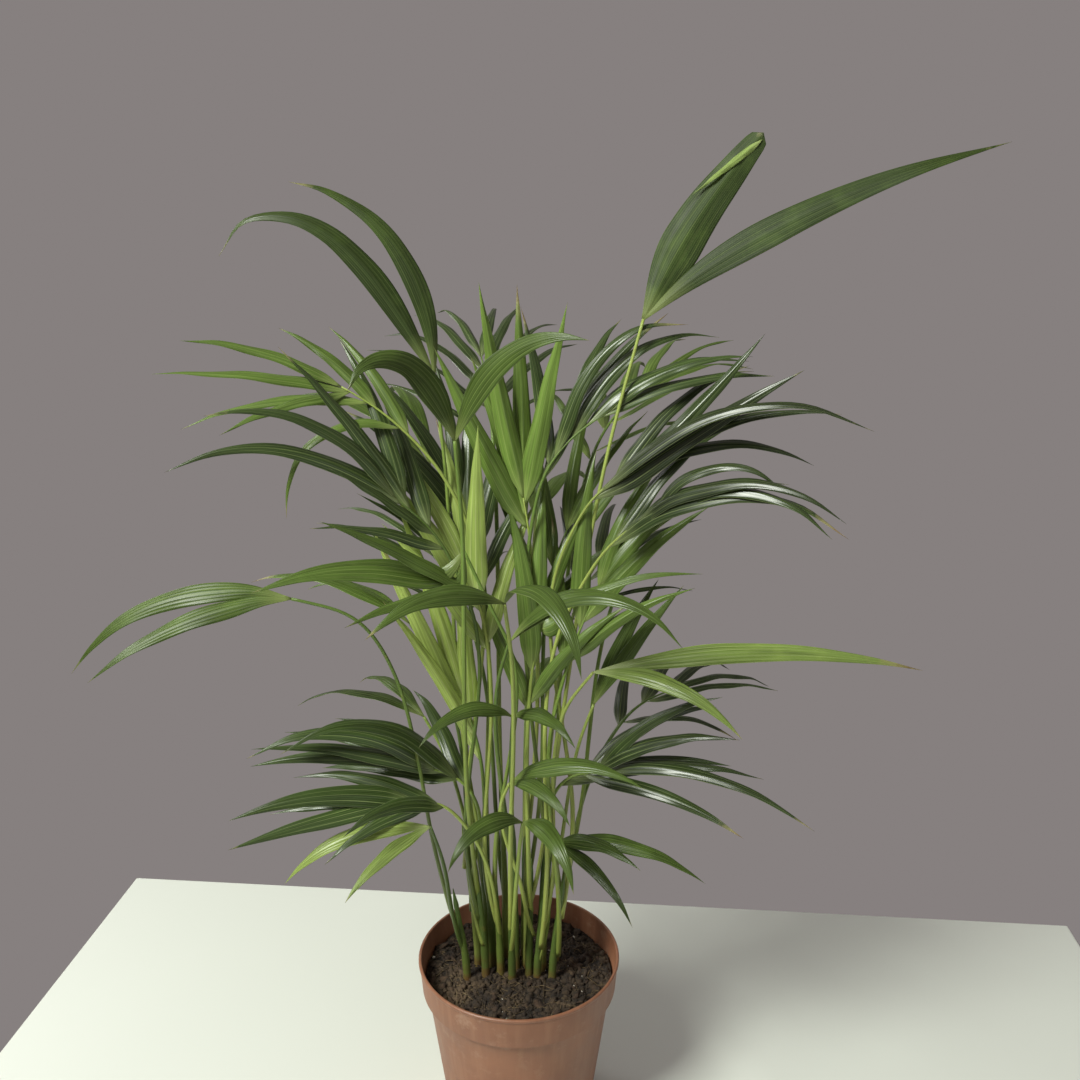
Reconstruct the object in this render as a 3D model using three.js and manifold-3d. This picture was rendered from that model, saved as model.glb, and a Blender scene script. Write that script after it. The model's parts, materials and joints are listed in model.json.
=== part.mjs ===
// Potted palm: a nursery pot of areca seedlings. Millimetres, +Z up, the pot's bottom centre at the origin.
import * as THREE from "three";
import Module from "manifold-3d";

const wasm = await Module();
wasm.setup();

// Pot
const potHeight = 105;
const rimRadius = 60;
const rimBandHeight = 20;
const rimBandTaper = 2;
const bandStep = 3;
const baseRadius = 44;
const wall = 1.8;
const floorThickness = 2;
const drainHoles = 8;
const drainHoleRadius = 4;
const drainCircle = 28;

// Soil
const soilBelowRim = 14;
const soilClearance = 0.3;
const soilRelief = 1.5;

// Plant
const growth = 1;
const caneRadius = 2.2;
const caneTopRadius = 1.4;
const plantingDepth = 14;
const socketClearance = 0.35;
const seatGap = 0.35;
const petioleRadius = 1.35;
const petioleTipRadius = 0.85;
const rachisEndRadius = 0.6;
const leafThickness = 0.9;
const leafFold = 13;
const airGap = 0.25;
const seamTolerance = 0.02;

const soilTop = potHeight - soilBelowRim;
const rad = Math.PI / 180;

// ---- joining and testing solids ----

function solidOf(positions, faces) {
  return new wasm.Manifold(
    new wasm.Mesh({
      numProp: 3,
      vertProperties: new Float32Array(positions),
      triVerts: new Uint32Array(faces),
    }),
  );
}

function solidOfGeometry(geometry) {
  const keys = new Map();
  const positions = [];
  const source = geometry.getAttribute("position");
  const index = geometry.index ? Array.from(geometry.index.array) : [...Array(source.count).keys()];
  const faces = [];
  const slot = (i) => {
    const p = [source.getX(i), source.getY(i), source.getZ(i)];
    const key = p.map((c) => Math.round(c * 1000)).join();
    if (!keys.has(key)) {
      keys.set(key, positions.length / 3);
      positions.push(...p);
    }
    return keys.get(key);
  };
  for (let i = 0; i < index.length; i += 3) {
    const [a, b, c] = [slot(index[i]), slot(index[i + 1]), slot(index[i + 2])];
    if (a !== b && b !== c && c !== a) faces.push(a, b, c);
  }
  return solidOf(positions, faces);
}

function meshOf(name, solid, colour, roughness) {
  const mesh = solid.getMesh();
  const geometry = new THREE.BufferGeometry();
  const vertices = new Float32Array(mesh.numVert * 3);
  for (let i = 0; i < mesh.numVert; i++) {
    for (let k = 0; k < 3; k++) vertices[i * 3 + k] = mesh.vertProperties[i * mesh.numProp + k];
  }
  geometry.setAttribute("position", new THREE.BufferAttribute(vertices, 3));
  geometry.setIndex(new THREE.BufferAttribute(mesh.triVerts, 1));
  const flat = geometry.toNonIndexed();
  flat.computeVertexNormals();
  const made = new THREE.Mesh(flat, new THREE.MeshStandardMaterial({ color: colour, roughness, metalness: 0 }));
  made.name = name;
  return made;
}

const placed = [];

function boxesMeet(a, b) {
  return [0, 1, 2].every((k) => a.min[k] <= b.max[k] && b.min[k] <= a.max[k]);
}

function place(solid) {
  placed.push({ solid, box: solid.boundingBox() });
}

function clear(solid) {
  const box = solid.boundingBox();
  return placed.every((other) => !boxesMeet(box, other.box) || solid.intersect(other.solid).isEmpty());
}

// ---- curves ----

const vec = (x, y, z) => new THREE.Vector3(x, y, z);

// A unit direction from a heading round the pot (0 is +X, 90 is +Y) and a rise above the horizontal.
function direction(heading, rise) {
  const h = heading * rad;
  const r = rise * rad;
  return vec(Math.cos(r) * Math.cos(h), Math.cos(r) * Math.sin(h), Math.sin(r));
}

// The leaf's face for that direction, turned partly to the front.
function faceNormal(heading, rise, front) {
  const along = direction(heading, rise);
  const up = direction(heading, rise + 90);
  const want = up.multiplyScalar(1 - front).add(vec(0, -front, 0.15 * front));
  want.addScaledVector(along, -want.dot(along));
  return want.normalize();
}

// A curve that leaves a point at a heading and a rise and sags under its own weight; a higher bend keeps the
// sag for the outer end.
function sagging(start, { heading, rise, length, droop = 0, bend = 1.25, swing = 0, front = 0.4 }, steps) {
  const points = [{ at: start.clone(), along: direction(heading, rise), face: faceNormal(heading, rise, front) }];
  const fine = 4;
  const here = start.clone();
  for (let i = 1; i <= steps * fine; i++) {
    const t = (i - 0.5) / (steps * fine);
    const h = heading + swing * t;
    const r = Math.max(-86, rise - droop * Math.pow(t, bend));
    here.addScaledVector(direction(h, r), (length * growth) / (steps * fine));
    if (i % fine === 0) points.push({ at: here.clone(), along: direction(h, r), face: faceNormal(h, r, front) });
  }
  return points;
}

// ---- lofted shapes ----

// Rings of equal length joined in order, with a flat cap or a point at each end.
function loft(rings, tip) {
  const positions = [];
  const faces = [];
  const n = rings[0].length;
  rings.forEach((ring) => ring.forEach((p) => positions.push(p.x, p.y, p.z)));
  for (let i = 0; i + 1 < rings.length; i++) {
    for (let j = 0; j < n; j++) {
      const a = i * n + j;
      const b = i * n + ((j + 1) % n);
      faces.push(a, b, b + n, a, b + n, a + n);
    }
  }
  for (let j = 1; j + 1 < n; j++) faces.push(0, j + 1, j);
  const last = (rings.length - 1) * n;
  if (tip) {
    positions.push(tip.x, tip.y, tip.z);
    const apex = positions.length / 3 - 1;
    for (let j = 0; j < n; j++) faces.push(last + j, last + ((j + 1) % n), apex);
  } else {
    for (let j = 1; j + 1 < n; j++) faces.push(last, last + j, last + j + 1);
  }
  const solid = solidOf(positions, faces);
  if (solid.volume() > 0) return solid;
  for (let i = 0; i < faces.length; i += 3) [faces[i + 1], faces[i + 2]] = [faces[i + 2], faces[i + 1]];
  return solidOf(positions, faces);
}

// A round stalk through the points, with a radius that runs from one value to the other.
function stalk(points, fromRadius, toRadius, sides, pointed) {
  const reference = vec(0.3, 1, 0.1).normalize();
  const count = pointed ? points.length - 1 : points.length;
  const rings = [];
  let side = null;
  for (let i = 0; i < count; i++) {
    const before = points[Math.max(0, i - 1)];
    const after = points[Math.min(points.length - 1, i + 1)];
    const along = after.clone().sub(before).normalize();
    side = (side || reference.clone()).addScaledVector(along, -(side || reference).dot(along)).normalize();
    const other = along.clone().cross(side);
    const radius = fromRadius + ((toRadius - fromRadius) * i) / (points.length - 1);
    rings.push(
      [...Array(sides).keys()].map((j) => {
        const a = (j * 2 * Math.PI) / sides;
        return points[i]
          .clone()
          .addScaledVector(side, radius * Math.cos(a))
          .addScaledVector(other, radius * Math.sin(a));
      }),
    );
  }
  return loft(rings, pointed ? points[points.length - 1] : null);
}

// A leaf blade: narrow at the foot, widest before the middle, drawn out to a point, its halves folded down a little.
// A blunt one, its long tip bent back, ends while it is still broad.
function blade(shape, start, steps, swell, from = 0) {
  const path = sagging(start, shape, steps);
  const drop = Math.sin(leafFold * rad);
  const reach = Math.cos(leafFold * rad);
  const rings = path.slice(0, -1).map(({ at, along, face }, i) => {
    const t = i / steps;
    const outline = Math.min(1, 0.16 + 2.6 * t) * Math.pow(1 - Math.pow(t * (shape.blunt || 1), 2.2), 0.9);
    const half = (shape.width / 2) * outline + swell;
    const thick = (leafThickness / 2) * (1 - 0.45 * t) + swell;
    const side = along.clone().cross(face);
    const edge = (way) =>
      at
        .clone()
        .addScaledVector(side, way * half * reach)
        .addScaledVector(face, -half * drop);
    return [edge(1), at.clone().addScaledVector(face, thick), edge(-1), at.clone().addScaledVector(face, -thick)];
  });
  return loft(rings.slice(from), path[steps].at);
}

// ---- settling: a blade or a stalk steps aside until it clears everything already grown ----

const turns = [[0, 0]];
for (let size = 3; size <= 30; size += 3) {
  for (let k = 0; k < 8; k++) {
    const a = k * 45 * rad;
    turns.push([size * Math.cos(a), size * Math.sin(a)]);
  }
}

// Blades of one frond may meet at the foot, so only their outer parts are kept apart.
function settledBlade(shape, steps, grown) {
  const outer = (turned, swell) => blade(turned, turned.start, steps, swell, steps > 5 ? 2 : 1);
  for (const shrink of [1, 0.85, 0.7, 0.5]) {
    for (const [aside, up] of turns) {
      const turned = {
        ...shape,
        heading: shape.heading + aside,
        rise: shape.rise + up,
        length: shape.length * shrink,
      };
      if (!clear(blade(turned, turned.start, steps, airGap))) continue;
      const wide = outer(turned, airGap);
      if (grown.some((other) => !wide.intersect(other).isEmpty())) continue;
      grown.push(outer(turned, 0));
      return blade(turned, turned.start, steps, 0);
    }
  }
  return null;
}

// ---- the pot and its soil ----

const bandBottom = potHeight - rimBandHeight;
const bandBottomRadius = rimRadius - rimBandTaper;
const wallTopRadius = bandBottomRadius - bandStep;

function outerRadius(z) {
  return baseRadius + ((wallTopRadius - baseRadius) * z) / bandBottom;
}

function lathe(profile, segments) {
  const geometry = new THREE.LatheGeometry(
    profile.map(([r, z]) => new THREE.Vector2(r, z)),
    segments,
  );
  geometry.rotateX(Math.PI / 2);
  const solid = solidOfGeometry(geometry);
  if (solid.volume() > 0) return solid;
  const flipped = geometry.toNonIndexed();
  const p = flipped.getAttribute("position");
  for (let i = 0; i < p.count; i += 3) {
    const b = vec(p.getX(i + 1), p.getY(i + 1), p.getZ(i + 1));
    p.setXYZ(i + 1, p.getX(i + 2), p.getY(i + 2), p.getZ(i + 2));
    p.setXYZ(i + 2, b.x, b.y, b.z);
  }
  return solidOfGeometry(flipped);
}

function potSolid() {
  const body = lathe(
    [
      [0, 0],
      [baseRadius, 0],
      [outerRadius(bandBottom), bandBottom],
      [bandBottomRadius, bandBottom + bandStep / 2],
      [rimRadius - 0.6, potHeight - 1.6],
      [rimRadius, potHeight - 1.2],
      [rimRadius, potHeight],
      [rimRadius - wall, potHeight],
      [bandBottomRadius - wall, bandBottom + bandStep / 2 + 1],
      [outerRadius(bandBottom) - wall, bandBottom - 0.5],
      [outerRadius(floorThickness) - wall, floorThickness],
      [0, floorThickness],
    ],
    40,
  );
  let pot = body;
  for (let i = 0; i < drainHoles; i++) {
    const a = (i * 2 * Math.PI) / drainHoles;
    const hole = new THREE.CylinderGeometry(drainHoleRadius, drainHoleRadius, floorThickness * 3, 8);
    hole.rotateX(Math.PI / 2);
    hole.translate(drainCircle * Math.cos(a), drainCircle * Math.sin(a), 0);
    pot = pot.subtract(solidOfGeometry(hole));
  }
  return pot;
}

function soilSurface(x, y) {
  return soilTop + soilRelief * (0.6 * Math.sin(x / 9 + 1) * Math.cos(y / 11) + 0.4 * Math.sin(x / 5 - y / 6));
}

function soilSolid() {
  const inside = wall + soilClearance;
  const foot = floorThickness + soilClearance;
  const topRadius = bandBottomRadius - inside;
  const rings = 3;
  const profile = [
    [0, foot],
    [outerRadius(foot) - inside, foot],
    [outerRadius(bandBottom) - inside, bandBottom - 0.5],
    [topRadius - 0.3, bandBottom + bandStep / 2 + 1.3],
  ];
  for (let i = 0; i < rings; i++) profile.push([topRadius * (1 - i / rings), soilTop]);
  profile.push([0, soilTop]);
  const solid = lathe(profile, 28).warp((p) => {
    if (p[2] > soilTop - 0.01) p[2] = soilSurface(p[0], p[1]);
  });
  return solid;
}

// ---- canes: where each seedling stands, how tall its sheath is and which way it leans ----

const canes = [
  { at: [-31, -7], tall: 54, lean: 8, heading: 190 },
  { at: [-25, 7], tall: 88, lean: 6, heading: 170 },
  { at: [-20, -4], tall: 76, lean: 5, heading: 200 },
  { at: [-16, 4], tall: 100, lean: 3, heading: 165 },
  { at: [-11, -2], tall: 68, lean: 4, heading: 215 },
  { at: [-4, -8], tall: 58, lean: 6, heading: 265 },
  { at: [-2, 2], tall: 94, lean: 2, heading: 250 },
  { at: [4, 5], tall: 110, lean: 2, heading: 60 },
  { at: [6, -3], tall: 72, lean: 3, heading: 300 },
  { at: [11, -6], tall: 52, lean: 6, heading: 320 },
  { at: [14, 2], tall: 96, lean: 4, heading: 10 },
  { at: [20, -7], tall: 64, lean: 7, heading: 340 },
  { at: [-19, 15], tall: 74, lean: 7, heading: 130 },
  { at: [-8, 13], tall: 94, lean: 4, heading: 110 },
  { at: [3, 15], tall: 70, lean: 6, heading: 90 },
  { at: [13, 12], tall: 88, lean: 5, heading: 60 },
  { at: [22, 8], tall: 70, lean: 8, heading: 30 },
];

function canePath({ at: [x, y], tall, lean, heading }) {
  const points = [vec(x, y, soilTop - plantingDepth), vec(x, y, soilTop + 4)];
  const steps = 3;
  const here = points[1].clone();
  for (let i = 1; i <= steps; i++) {
    here.addScaledVector(direction(heading, 90 - lean * Math.min(1, i / 2)), ((tall - 4) * growth) / steps);
    points.push(here.clone());
  }
  points.push(here.clone().addScaledVector(direction(heading, 90 - lean), 9));
  return points;
}

function caneRadiusAt(share) {
  return caneRadius + (caneTopRadius - caneRadius) * share;
}

// ---- fronds ----
// cane and up: which cane and how far up its sheath. foot: where the blades begin, measured from the soil's middle.
// toward: the heading and rise of the stalk there. Two-lobed leaves list their lobes. Feathered ones say how the
// rachis runs on, and either list their leaflets, each on its share of the rachis, or say how pairs of them are set.

const fronds = [
  {
    name: "frond_top_right", leaf: "mid", cane: 9, up: 0.9, foot: [67, 10, 387], toward: [10, 72],
    lobes: [
      { heading: -6, rise: 48, length: 196, droop: 35, bend: 0.6, width: 19, front: 0.75 },
      { heading: 8, rise: 70, length: 118, droop: 24, bend: 0.8, width: 25, front: 0.9, blunt: 0.78 },
    ],
  },
  {
    name: "frond_top_left", leaf: "mid", cane: 4, up: 0.9, foot: [-42, 10, 358], toward: [150, 82],
    lobes: [
      { heading: 180, rise: 60, length: 158, droop: 138, bend: 3, width: 16, front: 0.7 },
      { heading: 176, rise: 88, length: 134, droop: 84, bend: 1.4, width: 14, front: 0.7 },
    ],
  },
  {
    name: "frond_long_left", leaf: "mid", cane: 1, up: 0.85, foot: [-118, -25, 247], toward: [190, 2],
    lobes: [
      { heading: 183, rise: 12, length: 132, droop: 70, width: 14, front: 0.6 },
      { heading: 195, rise: -3, length: 112, droop: 38, width: 13, front: 0.6 },
    ],
  },
  {
    name: "frond_right", leaf: "bright", cane: 10, up: 0.9, foot: [42, -20, 203], toward: [-18, 42],
    lobes: [
      { heading: -8, rise: 16, length: 172, droop: 28, width: 14, front: 0.55 },
      { heading: -32, rise: 14, length: 92, droop: 58, width: 12, front: 0.5 },
    ],
  },
  {
    name: "frond_front_centre", leaf: "mid", cane: 6, up: 0.9, foot: [-5, -60, 256], toward: [255, 62],
    lobes: [
      { heading: 222, rise: 30, length: 86, droop: 66, width: 16, front: 0.5 },
      { heading: 300, rise: 50, length: 92, droop: 128, bend: 1.1, width: 15, front: 0.2 },
    ],
  },
  {
    name: "frond_upper_front", leaf: "mid", cane: 3, up: 0.95, foot: [-27, -60, 337], toward: [262, 68],
    lobes: [
      { heading: 222, rise: 66, length: 84, droop: 140, bend: 2.2, width: 16, front: 0.7 },
      { heading: 334, rise: 68, length: 92, droop: 82, bend: 1.5, width: 15, front: 0.7 },
    ],
  },
  {
    name: "frond_low_left", leaf: "bright", cane: 1, up: 0.6, foot: [-48, -34, 118], toward: [205, 66],
    lobes: [
      { heading: 192, rise: 12, length: 88, droop: 66, width: 13, front: 0.5 },
      { heading: 222, rise: -4, length: 62, droop: 42, width: 10, front: 0.4 },
    ],
  },
  {
    name: "frond_low_front", leaf: "mid", cane: 6, up: 0.6, foot: [3, -30, 119], toward: [285, 70],
    lobes: [
      { heading: 222, rise: 36, length: 62, droop: 104, width: 13, front: 0.5 },
      { heading: 300, rise: 32, length: 66, droop: 106, width: 13, front: 0.5 },
    ],
  },
  {
    name: "frond_low_right", leaf: "mid", cane: 10, up: 0.55, foot: [21, -10, 94], toward: [330, 62],
    lobes: [
      { heading: 342, rise: 18, length: 92, droop: 54, width: 12, front: 0.5 },
      { heading: 317, rise: 32, length: 66, droop: 54, width: 12, front: 0.5 },
      { heading: 304, rise: 8, length: 72, droop: 60, width: 9, front: 0.5 },
    ],
  },
  {
    name: "frond_upright_left", leaf: "bright", cane: 4, up: 0.6, foot: [-20, 0, 132], toward: [170, 84],
    rachis: { heading: 176, rise: 80, length: 46, droop: 6, front: 0.8 },
    leaflets: [
      { on: 0.1, heading: 186, rise: 72, length: 148, droop: 8, width: 10, front: 0.8 },
      { on: 0.9, heading: 182, rise: 62, length: 118, droop: -8, width: 11, front: 0.8 },
      { on: 0.75, heading: 120, rise: 78, length: 88, droop: 8, width: 12, front: 0.8 },
      { on: 1, heading: 168, rise: 76, length: 120, droop: 10, width: 12, front: 0.8 },
      { on: 0.45, heading: 205, rise: 66, length: 104, droop: 12, width: 10, front: 0.8 },
    ],
  },
  {
    name: "frond_upper_left", leaf: "mid", cane: 2, up: 0.95, foot: [-38, 0, 306], toward: [176, 58],
    rachis: { heading: 180, rise: 54, length: 72, droop: 26, front: 0.55 },
    leaflets: [
      { on: 1, heading: 187, rise: 30, length: 84, droop: 30, width: 8, front: 0.5 },
      { on: 0.96, heading: 192, rise: 13, length: 96, droop: 16, width: 9, front: 0.5 },
      { on: 0.8, heading: 195, rise: 8, length: 94, droop: 34, width: 9, front: 0.5 },
      { on: 0.9, heading: 207, rise: -2, length: 72, droop: 26, width: 8, front: 0.5 },
      { on: 0.45, heading: 202, rise: 22, length: 92, droop: 128, bend: 1.2, width: 8, front: 0.4 },
      { on: 0.35, heading: 150, rise: 60, length: 76, droop: 30, width: 9, front: 0.6 },
      { on: 0.65, heading: 166, rise: 50, length: 70, droop: 30, width: 8, front: 0.6 },
    ],
  },
  {
    name: "frond_mid_left", leaf: "dark", cane: 3, up: 0.75, foot: [-34, -10, 262], toward: [188, 60],
    rachis: { heading: 186, rise: 58, length: 44, droop: 10, front: 0.5 },
    leaflets: [
      { on: 0.75, heading: 180, rise: 60, length: 108, droop: 16, width: 11, front: 0.6 },
      { on: 1, heading: 195, rise: 56, length: 114, droop: 70, bend: 1.4, width: 11, front: 0.5 },
      { on: 0.85, heading: 197, rise: 40, length: 130, droop: 70, bend: 1.5, width: 11, front: 0.5 },
      { on: 0.4, heading: 214, rise: 42, length: 70, droop: 12, width: 8, front: 0.5 },
      { on: 0.1, heading: 208, rise: 30, length: 76, droop: 30, width: 9, front: 0.5 },
      { on: 0.5, heading: 120, rise: 64, length: 90, droop: 40, width: 11, front: 0.4 },
      { on: 0.95, heading: 140, rise: 72, length: 96, droop: 30, width: 11, front: 0.6 },
    ],
  },
  {
    name: "frond_left_spray", leaf: "mid", cane: 5, up: 0.92, foot: [-14, -18, 240], toward: [200, 54],
    rachis: { heading: 202, rise: 44, length: 16, droop: 8, front: 0.5 },
    leaflets: [
      { on: 0.3, heading: 207, rise: 38, length: 100, droop: 14, width: 9, front: 0.5 },
      { on: 1, heading: 201, rise: 26, length: 114, droop: 46, width: 15, front: 0.5 },
      { on: 0.8, heading: 215, rise: 8, length: 74, droop: 26, width: 9, front: 0.5 },
    ],
  },
  {
    name: "frond_lower_left", leaf: "dark", cane: 3, up: 0.5, foot: [-26, -4, 122], toward: [190, 56],
    rachis: { heading: 188, rise: 42, length: 34, droop: 10, front: 0.5 },
    leaflets: [
      { on: 0.3, heading: 203, rise: 60, length: 124, droop: 92, bend: 1.5, width: 13, front: 0.5 },
      { on: 0.75, heading: 196, rise: 48, length: 114, droop: 80, bend: 1.2, width: 14, front: 0.5 },
      { on: 0.6, heading: 189, rise: 26, length: 108, droop: 30, width: 12, front: 0.5 },
      { on: 1, heading: 183, rise: 12, length: 98, droop: 26, width: 12, front: 0.5 },
      { on: 0.5, heading: 150, rise: 34, length: 86, droop: 50, width: 12, front: 0.3 },
      { on: 0.9, heading: 172, rise: 22, length: 88, droop: 34, width: 12, front: 0.4 },
      { on: 0.35, heading: 164, rise: 8, length: 84, droop: 24, width: 12, front: 0.3 },
      { on: 0.15, heading: 120, rise: 50, length: 80, droop: 54, width: 11, front: 0.2 },
    ],
  },
  {
    name: "frond_lower_left_front", leaf: "dark", cane: 5, up: 0.6, foot: [-38, -20, 121], toward: [198, 48],
    rachis: { heading: 196, rise: 26, length: 24, droop: 10, front: 0.5 },
    leaflets: [
      { on: 0.8, heading: 196, rise: 20, length: 102, droop: 40, width: 15, front: 0.55 },
      { on: 1, heading: 203, rise: 0, length: 98, droop: 10, width: 12, front: 0.5 },
      { on: 0.5, heading: 214, rise: 4, length: 66, droop: 42, width: 11, front: 0.5 },
      { on: 0.6, heading: 182, rise: 6, length: 86, droop: 22, width: 12, front: 0.4 },
      { on: 0.3, heading: 174, rise: 30, length: 84, droop: 48, width: 12, front: 0.4 },
      { on: 0.1, heading: 224, rise: 34, length: 70, droop: 60, width: 11, front: 0.5 },
    ],
  },
  {
    name: "frond_crown", leaf: "mid", cane: 8, up: 0.95, foot: [7, 10, 270], toward: [160, 84],
    rachis: { heading: 170, rise: 82, length: 22, droop: 2, front: 0.85 },
    leaflets: [
      { on: 1, heading: 180, rise: 77, length: 116, droop: -4, width: 14, front: 0.85 },
      { on: 0.9, heading: 100, rise: 82, length: 116, droop: 6, width: 13, front: 0.85 },
      { on: 0.8, heading: 0, rise: 80, length: 110, droop: 4, width: 13, front: 0.85 },
      { on: 0.1, heading: 190, rise: 62, length: 112, droop: -4, width: 15, front: 0.8 },
      { on: 0.5, heading: 150, rise: 72, length: 92, droop: 10, width: 12, front: 0.8 },
    ],
  },
  {
    name: "frond_crown_right", leaf: "dark", cane: 11, up: 0.95, foot: [6, 10, 298], toward: [10, 78],
    rachis: { heading: 0, rise: 64, length: 58, droop: 28, front: 0.6 },
    leaflets: [
      { on: 0.06, heading: 14, rise: 68, length: 114, droop: 36, width: 11, front: 0.6 },
      { on: 0.3, heading: 2, rise: 76, length: 112, droop: 92, bend: 2, width: 10, front: 0.6 },
      { on: 0.55, heading: 8, rise: 66, length: 106, droop: 84, bend: 1.6, width: 10, front: 0.6 },
      { on: 1, heading: 352, rise: 40, length: 84, droop: 44, width: 9, front: 0.6 },
      { on: 0.92, heading: 346, rise: 28, length: 96, droop: 34, width: 9, front: 0.5 },
      { on: 0.75, heading: 0, rise: 48, length: 98, droop: 60, width: 9, front: 0.5 },
      { on: 0.2, heading: 130, rise: 80, length: 88, droop: 20, width: 10, front: 0.7 },
      { on: 0.45, heading: 60, rise: 66, length: 96, droop: 50, width: 10, front: 0.5 },
    ],
  },
  {
    name: "frond_upper_right", leaf: "dark", cane: 12, up: 0.95, foot: [36, 0, 288], toward: [352, 54],
    rachis: { heading: 356, rise: 42, length: 40, droop: 10, front: 0.55 },
    leaflets: [
      { on: 0.3, heading: 340, rise: 50, length: 154, droop: 80, bend: 1.4, width: 10, front: 0.5 },
      { on: 0.1, heading: 348, rise: 38, length: 128, droop: 8, width: 15, front: 0.6 },
      { on: 0.7, heading: 8, rise: 44, length: 102, droop: -6, width: 12, front: 0.6 },
      { on: 1, heading: 341, rise: 38, length: 106, droop: 46, width: 9, front: 0.5 },
      { on: 0.85, heading: 356, rise: 30, length: 98, droop: 62, width: 9, front: 0.5 },
      { on: 0.5, heading: 24, rise: 58, length: 104, droop: 50, width: 10, front: 0.5 },
    ],
  },
  {
    name: "frond_mid_right", leaf: "dark", cane: 10, up: 0.75, foot: [40, -10, 258], toward: [338, 56],
    rachis: { heading: 340, rise: 50, length: 50, droop: 10, front: 0.55 },
    leaflets: [
      { on: 0.25, heading: 333, rise: 44, length: 138, droop: 86, bend: 1.5, width: 13, front: 0.55 },
      { on: 1, heading: 328, rise: 30, length: 100, droop: 80, bend: 1.3, width: 11, front: 0.5 },
      { on: 0.8, heading: 342, rise: 38, length: 78, droop: 46, width: 8, front: 0.5 },
      { on: 0.9, heading: 336, rise: 58, length: 82, droop: 104, bend: 1.4, width: 8, front: 0.5 },
      { on: 0.6, heading: 330, rise: 38, length: 124, droop: 84, bend: 1.4, width: 11, front: 0.55 },
      { on: 0.4, heading: 22, rise: 60, length: 92, droop: 44, width: 10, front: 0.4 },
    ],
  },
  {
    name: "frond_lower_right", leaf: "dark", cane: 12, up: 0.7, foot: [22, -6, 126], toward: [346, 52],
    rachis: { heading: 348, rise: 36, length: 30, droop: 10, front: 0.5 },
    leaflets: [
      { on: 0.1, heading: 348, rise: 30, length: 98, droop: 38, width: 11, front: 0.5 },
      { on: 0.3, heading: 341, rise: 24, length: 110, droop: 38, width: 11, front: 0.5 },
      { on: 0.8, heading: 336, rise: 42, length: 92, droop: 42, width: 11, front: 0.5 },
      { on: 0.9, heading: 342, rise: 54, length: 88, droop: 42, width: 10, front: 0.5 },
      { on: 1, heading: 334, rise: 18, length: 124, droop: 50, width: 9, front: 0.5 },
      { on: 0.55, heading: 331, rise: 8, length: 98, droop: 34, width: 10, front: 0.5 },
      { on: 0.6, heading: 16, rise: 46, length: 90, droop: 56, width: 11, front: 0.3 },
    ],
  },
  {
    name: "frond_inner_right", leaf: "mid", cane: 11, up: 0.6, foot: [43, 0, 176], toward: [8, 66],
    lobes: [
      { heading: 18, rise: 68, length: 80, droop: 14, width: 11, front: 0.7 },
      { heading: 0, rise: 58, length: 86, droop: 10, width: 10, front: 0.7 },
    ],
  },
  {
    name: "frond_arching_right", leaf: "mid", cane: 7, up: 0.9, foot: [-3, -30, 225], toward: [320, 64],
    lobes: [
      { heading: 330, rise: 56, length: 116, droop: 108, width: 14, front: 0.5 },
      { heading: 352, rise: 42, length: 110, droop: 44, width: 8, front: 0.4 },
    ],
  },
  {
    name: "frond_front_right", leaf: "mid", cane: 9, up: 0.6, foot: [-4, -22, 139], toward: [330, 56],
    lobes: [
      { heading: 337, rise: 38, length: 84, droop: 66, width: 13, front: 0.5 },
      { heading: 312, rise: 26, length: 54, droop: 76, width: 11, front: 0.5 },
    ],
  },
  {
    name: "frond_back_left", leaf: "mid", cane: 13, up: 0.9, foot: [-52, 62, 300], toward: [135, 64],
    lobes: [
      { heading: 150, rise: 46, length: 130, droop: 76, width: 17, front: 0 },
      { heading: 112, rise: 56, length: 110, droop: 90, width: 15, front: 0 },
    ],
  },
  {
    name: "frond_back", leaf: "dark", cane: 14, up: 0.95, foot: [-14, 52, 312], toward: [100, 70],
    rachis: { heading: 100, rise: 56, length: 70, droop: 30, front: 0 },
    leaflets: { pairs: 5, length: 88, width: 9, spread: 46, tip: 14, droop: 52, lift: 10 },
  },
  {
    name: "frond_back_right", leaf: "mid", cane: 16, up: 0.95, foot: [40, 50, 300], toward: [52, 64],
    rachis: { heading: 50, rise: 50, length: 66, droop: 28, front: 0 },
    leaflets: { pairs: 4, length: 92, width: 10, spread: 44, tip: 14, droop: 50, lift: 10 },
  },
  {
    name: "frond_back_far_right", leaf: "mid", cane: 17, up: 0.9, foot: [72, 48, 258], toward: [30, 52],
    lobes: [
      { heading: 24, rise: 40, length: 124, droop: 74, width: 16, front: 0 },
      { heading: 48, rise: 34, length: 100, droop: 70, width: 14, front: 0 },
    ],
  },
  {
    name: "frond_back_low_left", leaf: "mid", cane: 13, up: 0.55, foot: [-58, 40, 150], toward: [145, 44],
    lobes: [
      { heading: 158, rise: 22, length: 96, droop: 62, width: 14, front: 0 },
      { heading: 128, rise: 26, length: 84, droop: 66, width: 12, front: 0 },
    ],
  },
  {
    name: "frond_back_low", leaf: "mid", cane: 15, up: 0.6, foot: [4, 62, 148], toward: [88, 48],
    lobes: [
      { heading: 104, rise: 28, length: 96, droop: 76, width: 14, front: 0 },
      { heading: 72, rise: 30, length: 86, droop: 70, width: 13, front: 0 },
    ],
  },
  {
    name: "frond_back_low_right", leaf: "dark", cane: 17, up: 0.55, foot: [58, 36, 142], toward: [34, 44],
    rachis: { heading: 32, rise: 34, length: 44, droop: 24, front: 0 },
    leaflets: { pairs: 3, length: 80, width: 11, spread: 44, tip: 18, droop: 54, lift: 6 },
  },
  {
    name: "frond_back_arching", leaf: "mid", cane: 15, up: 0.92, foot: [10, 84, 262], toward: [84, 50],
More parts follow.
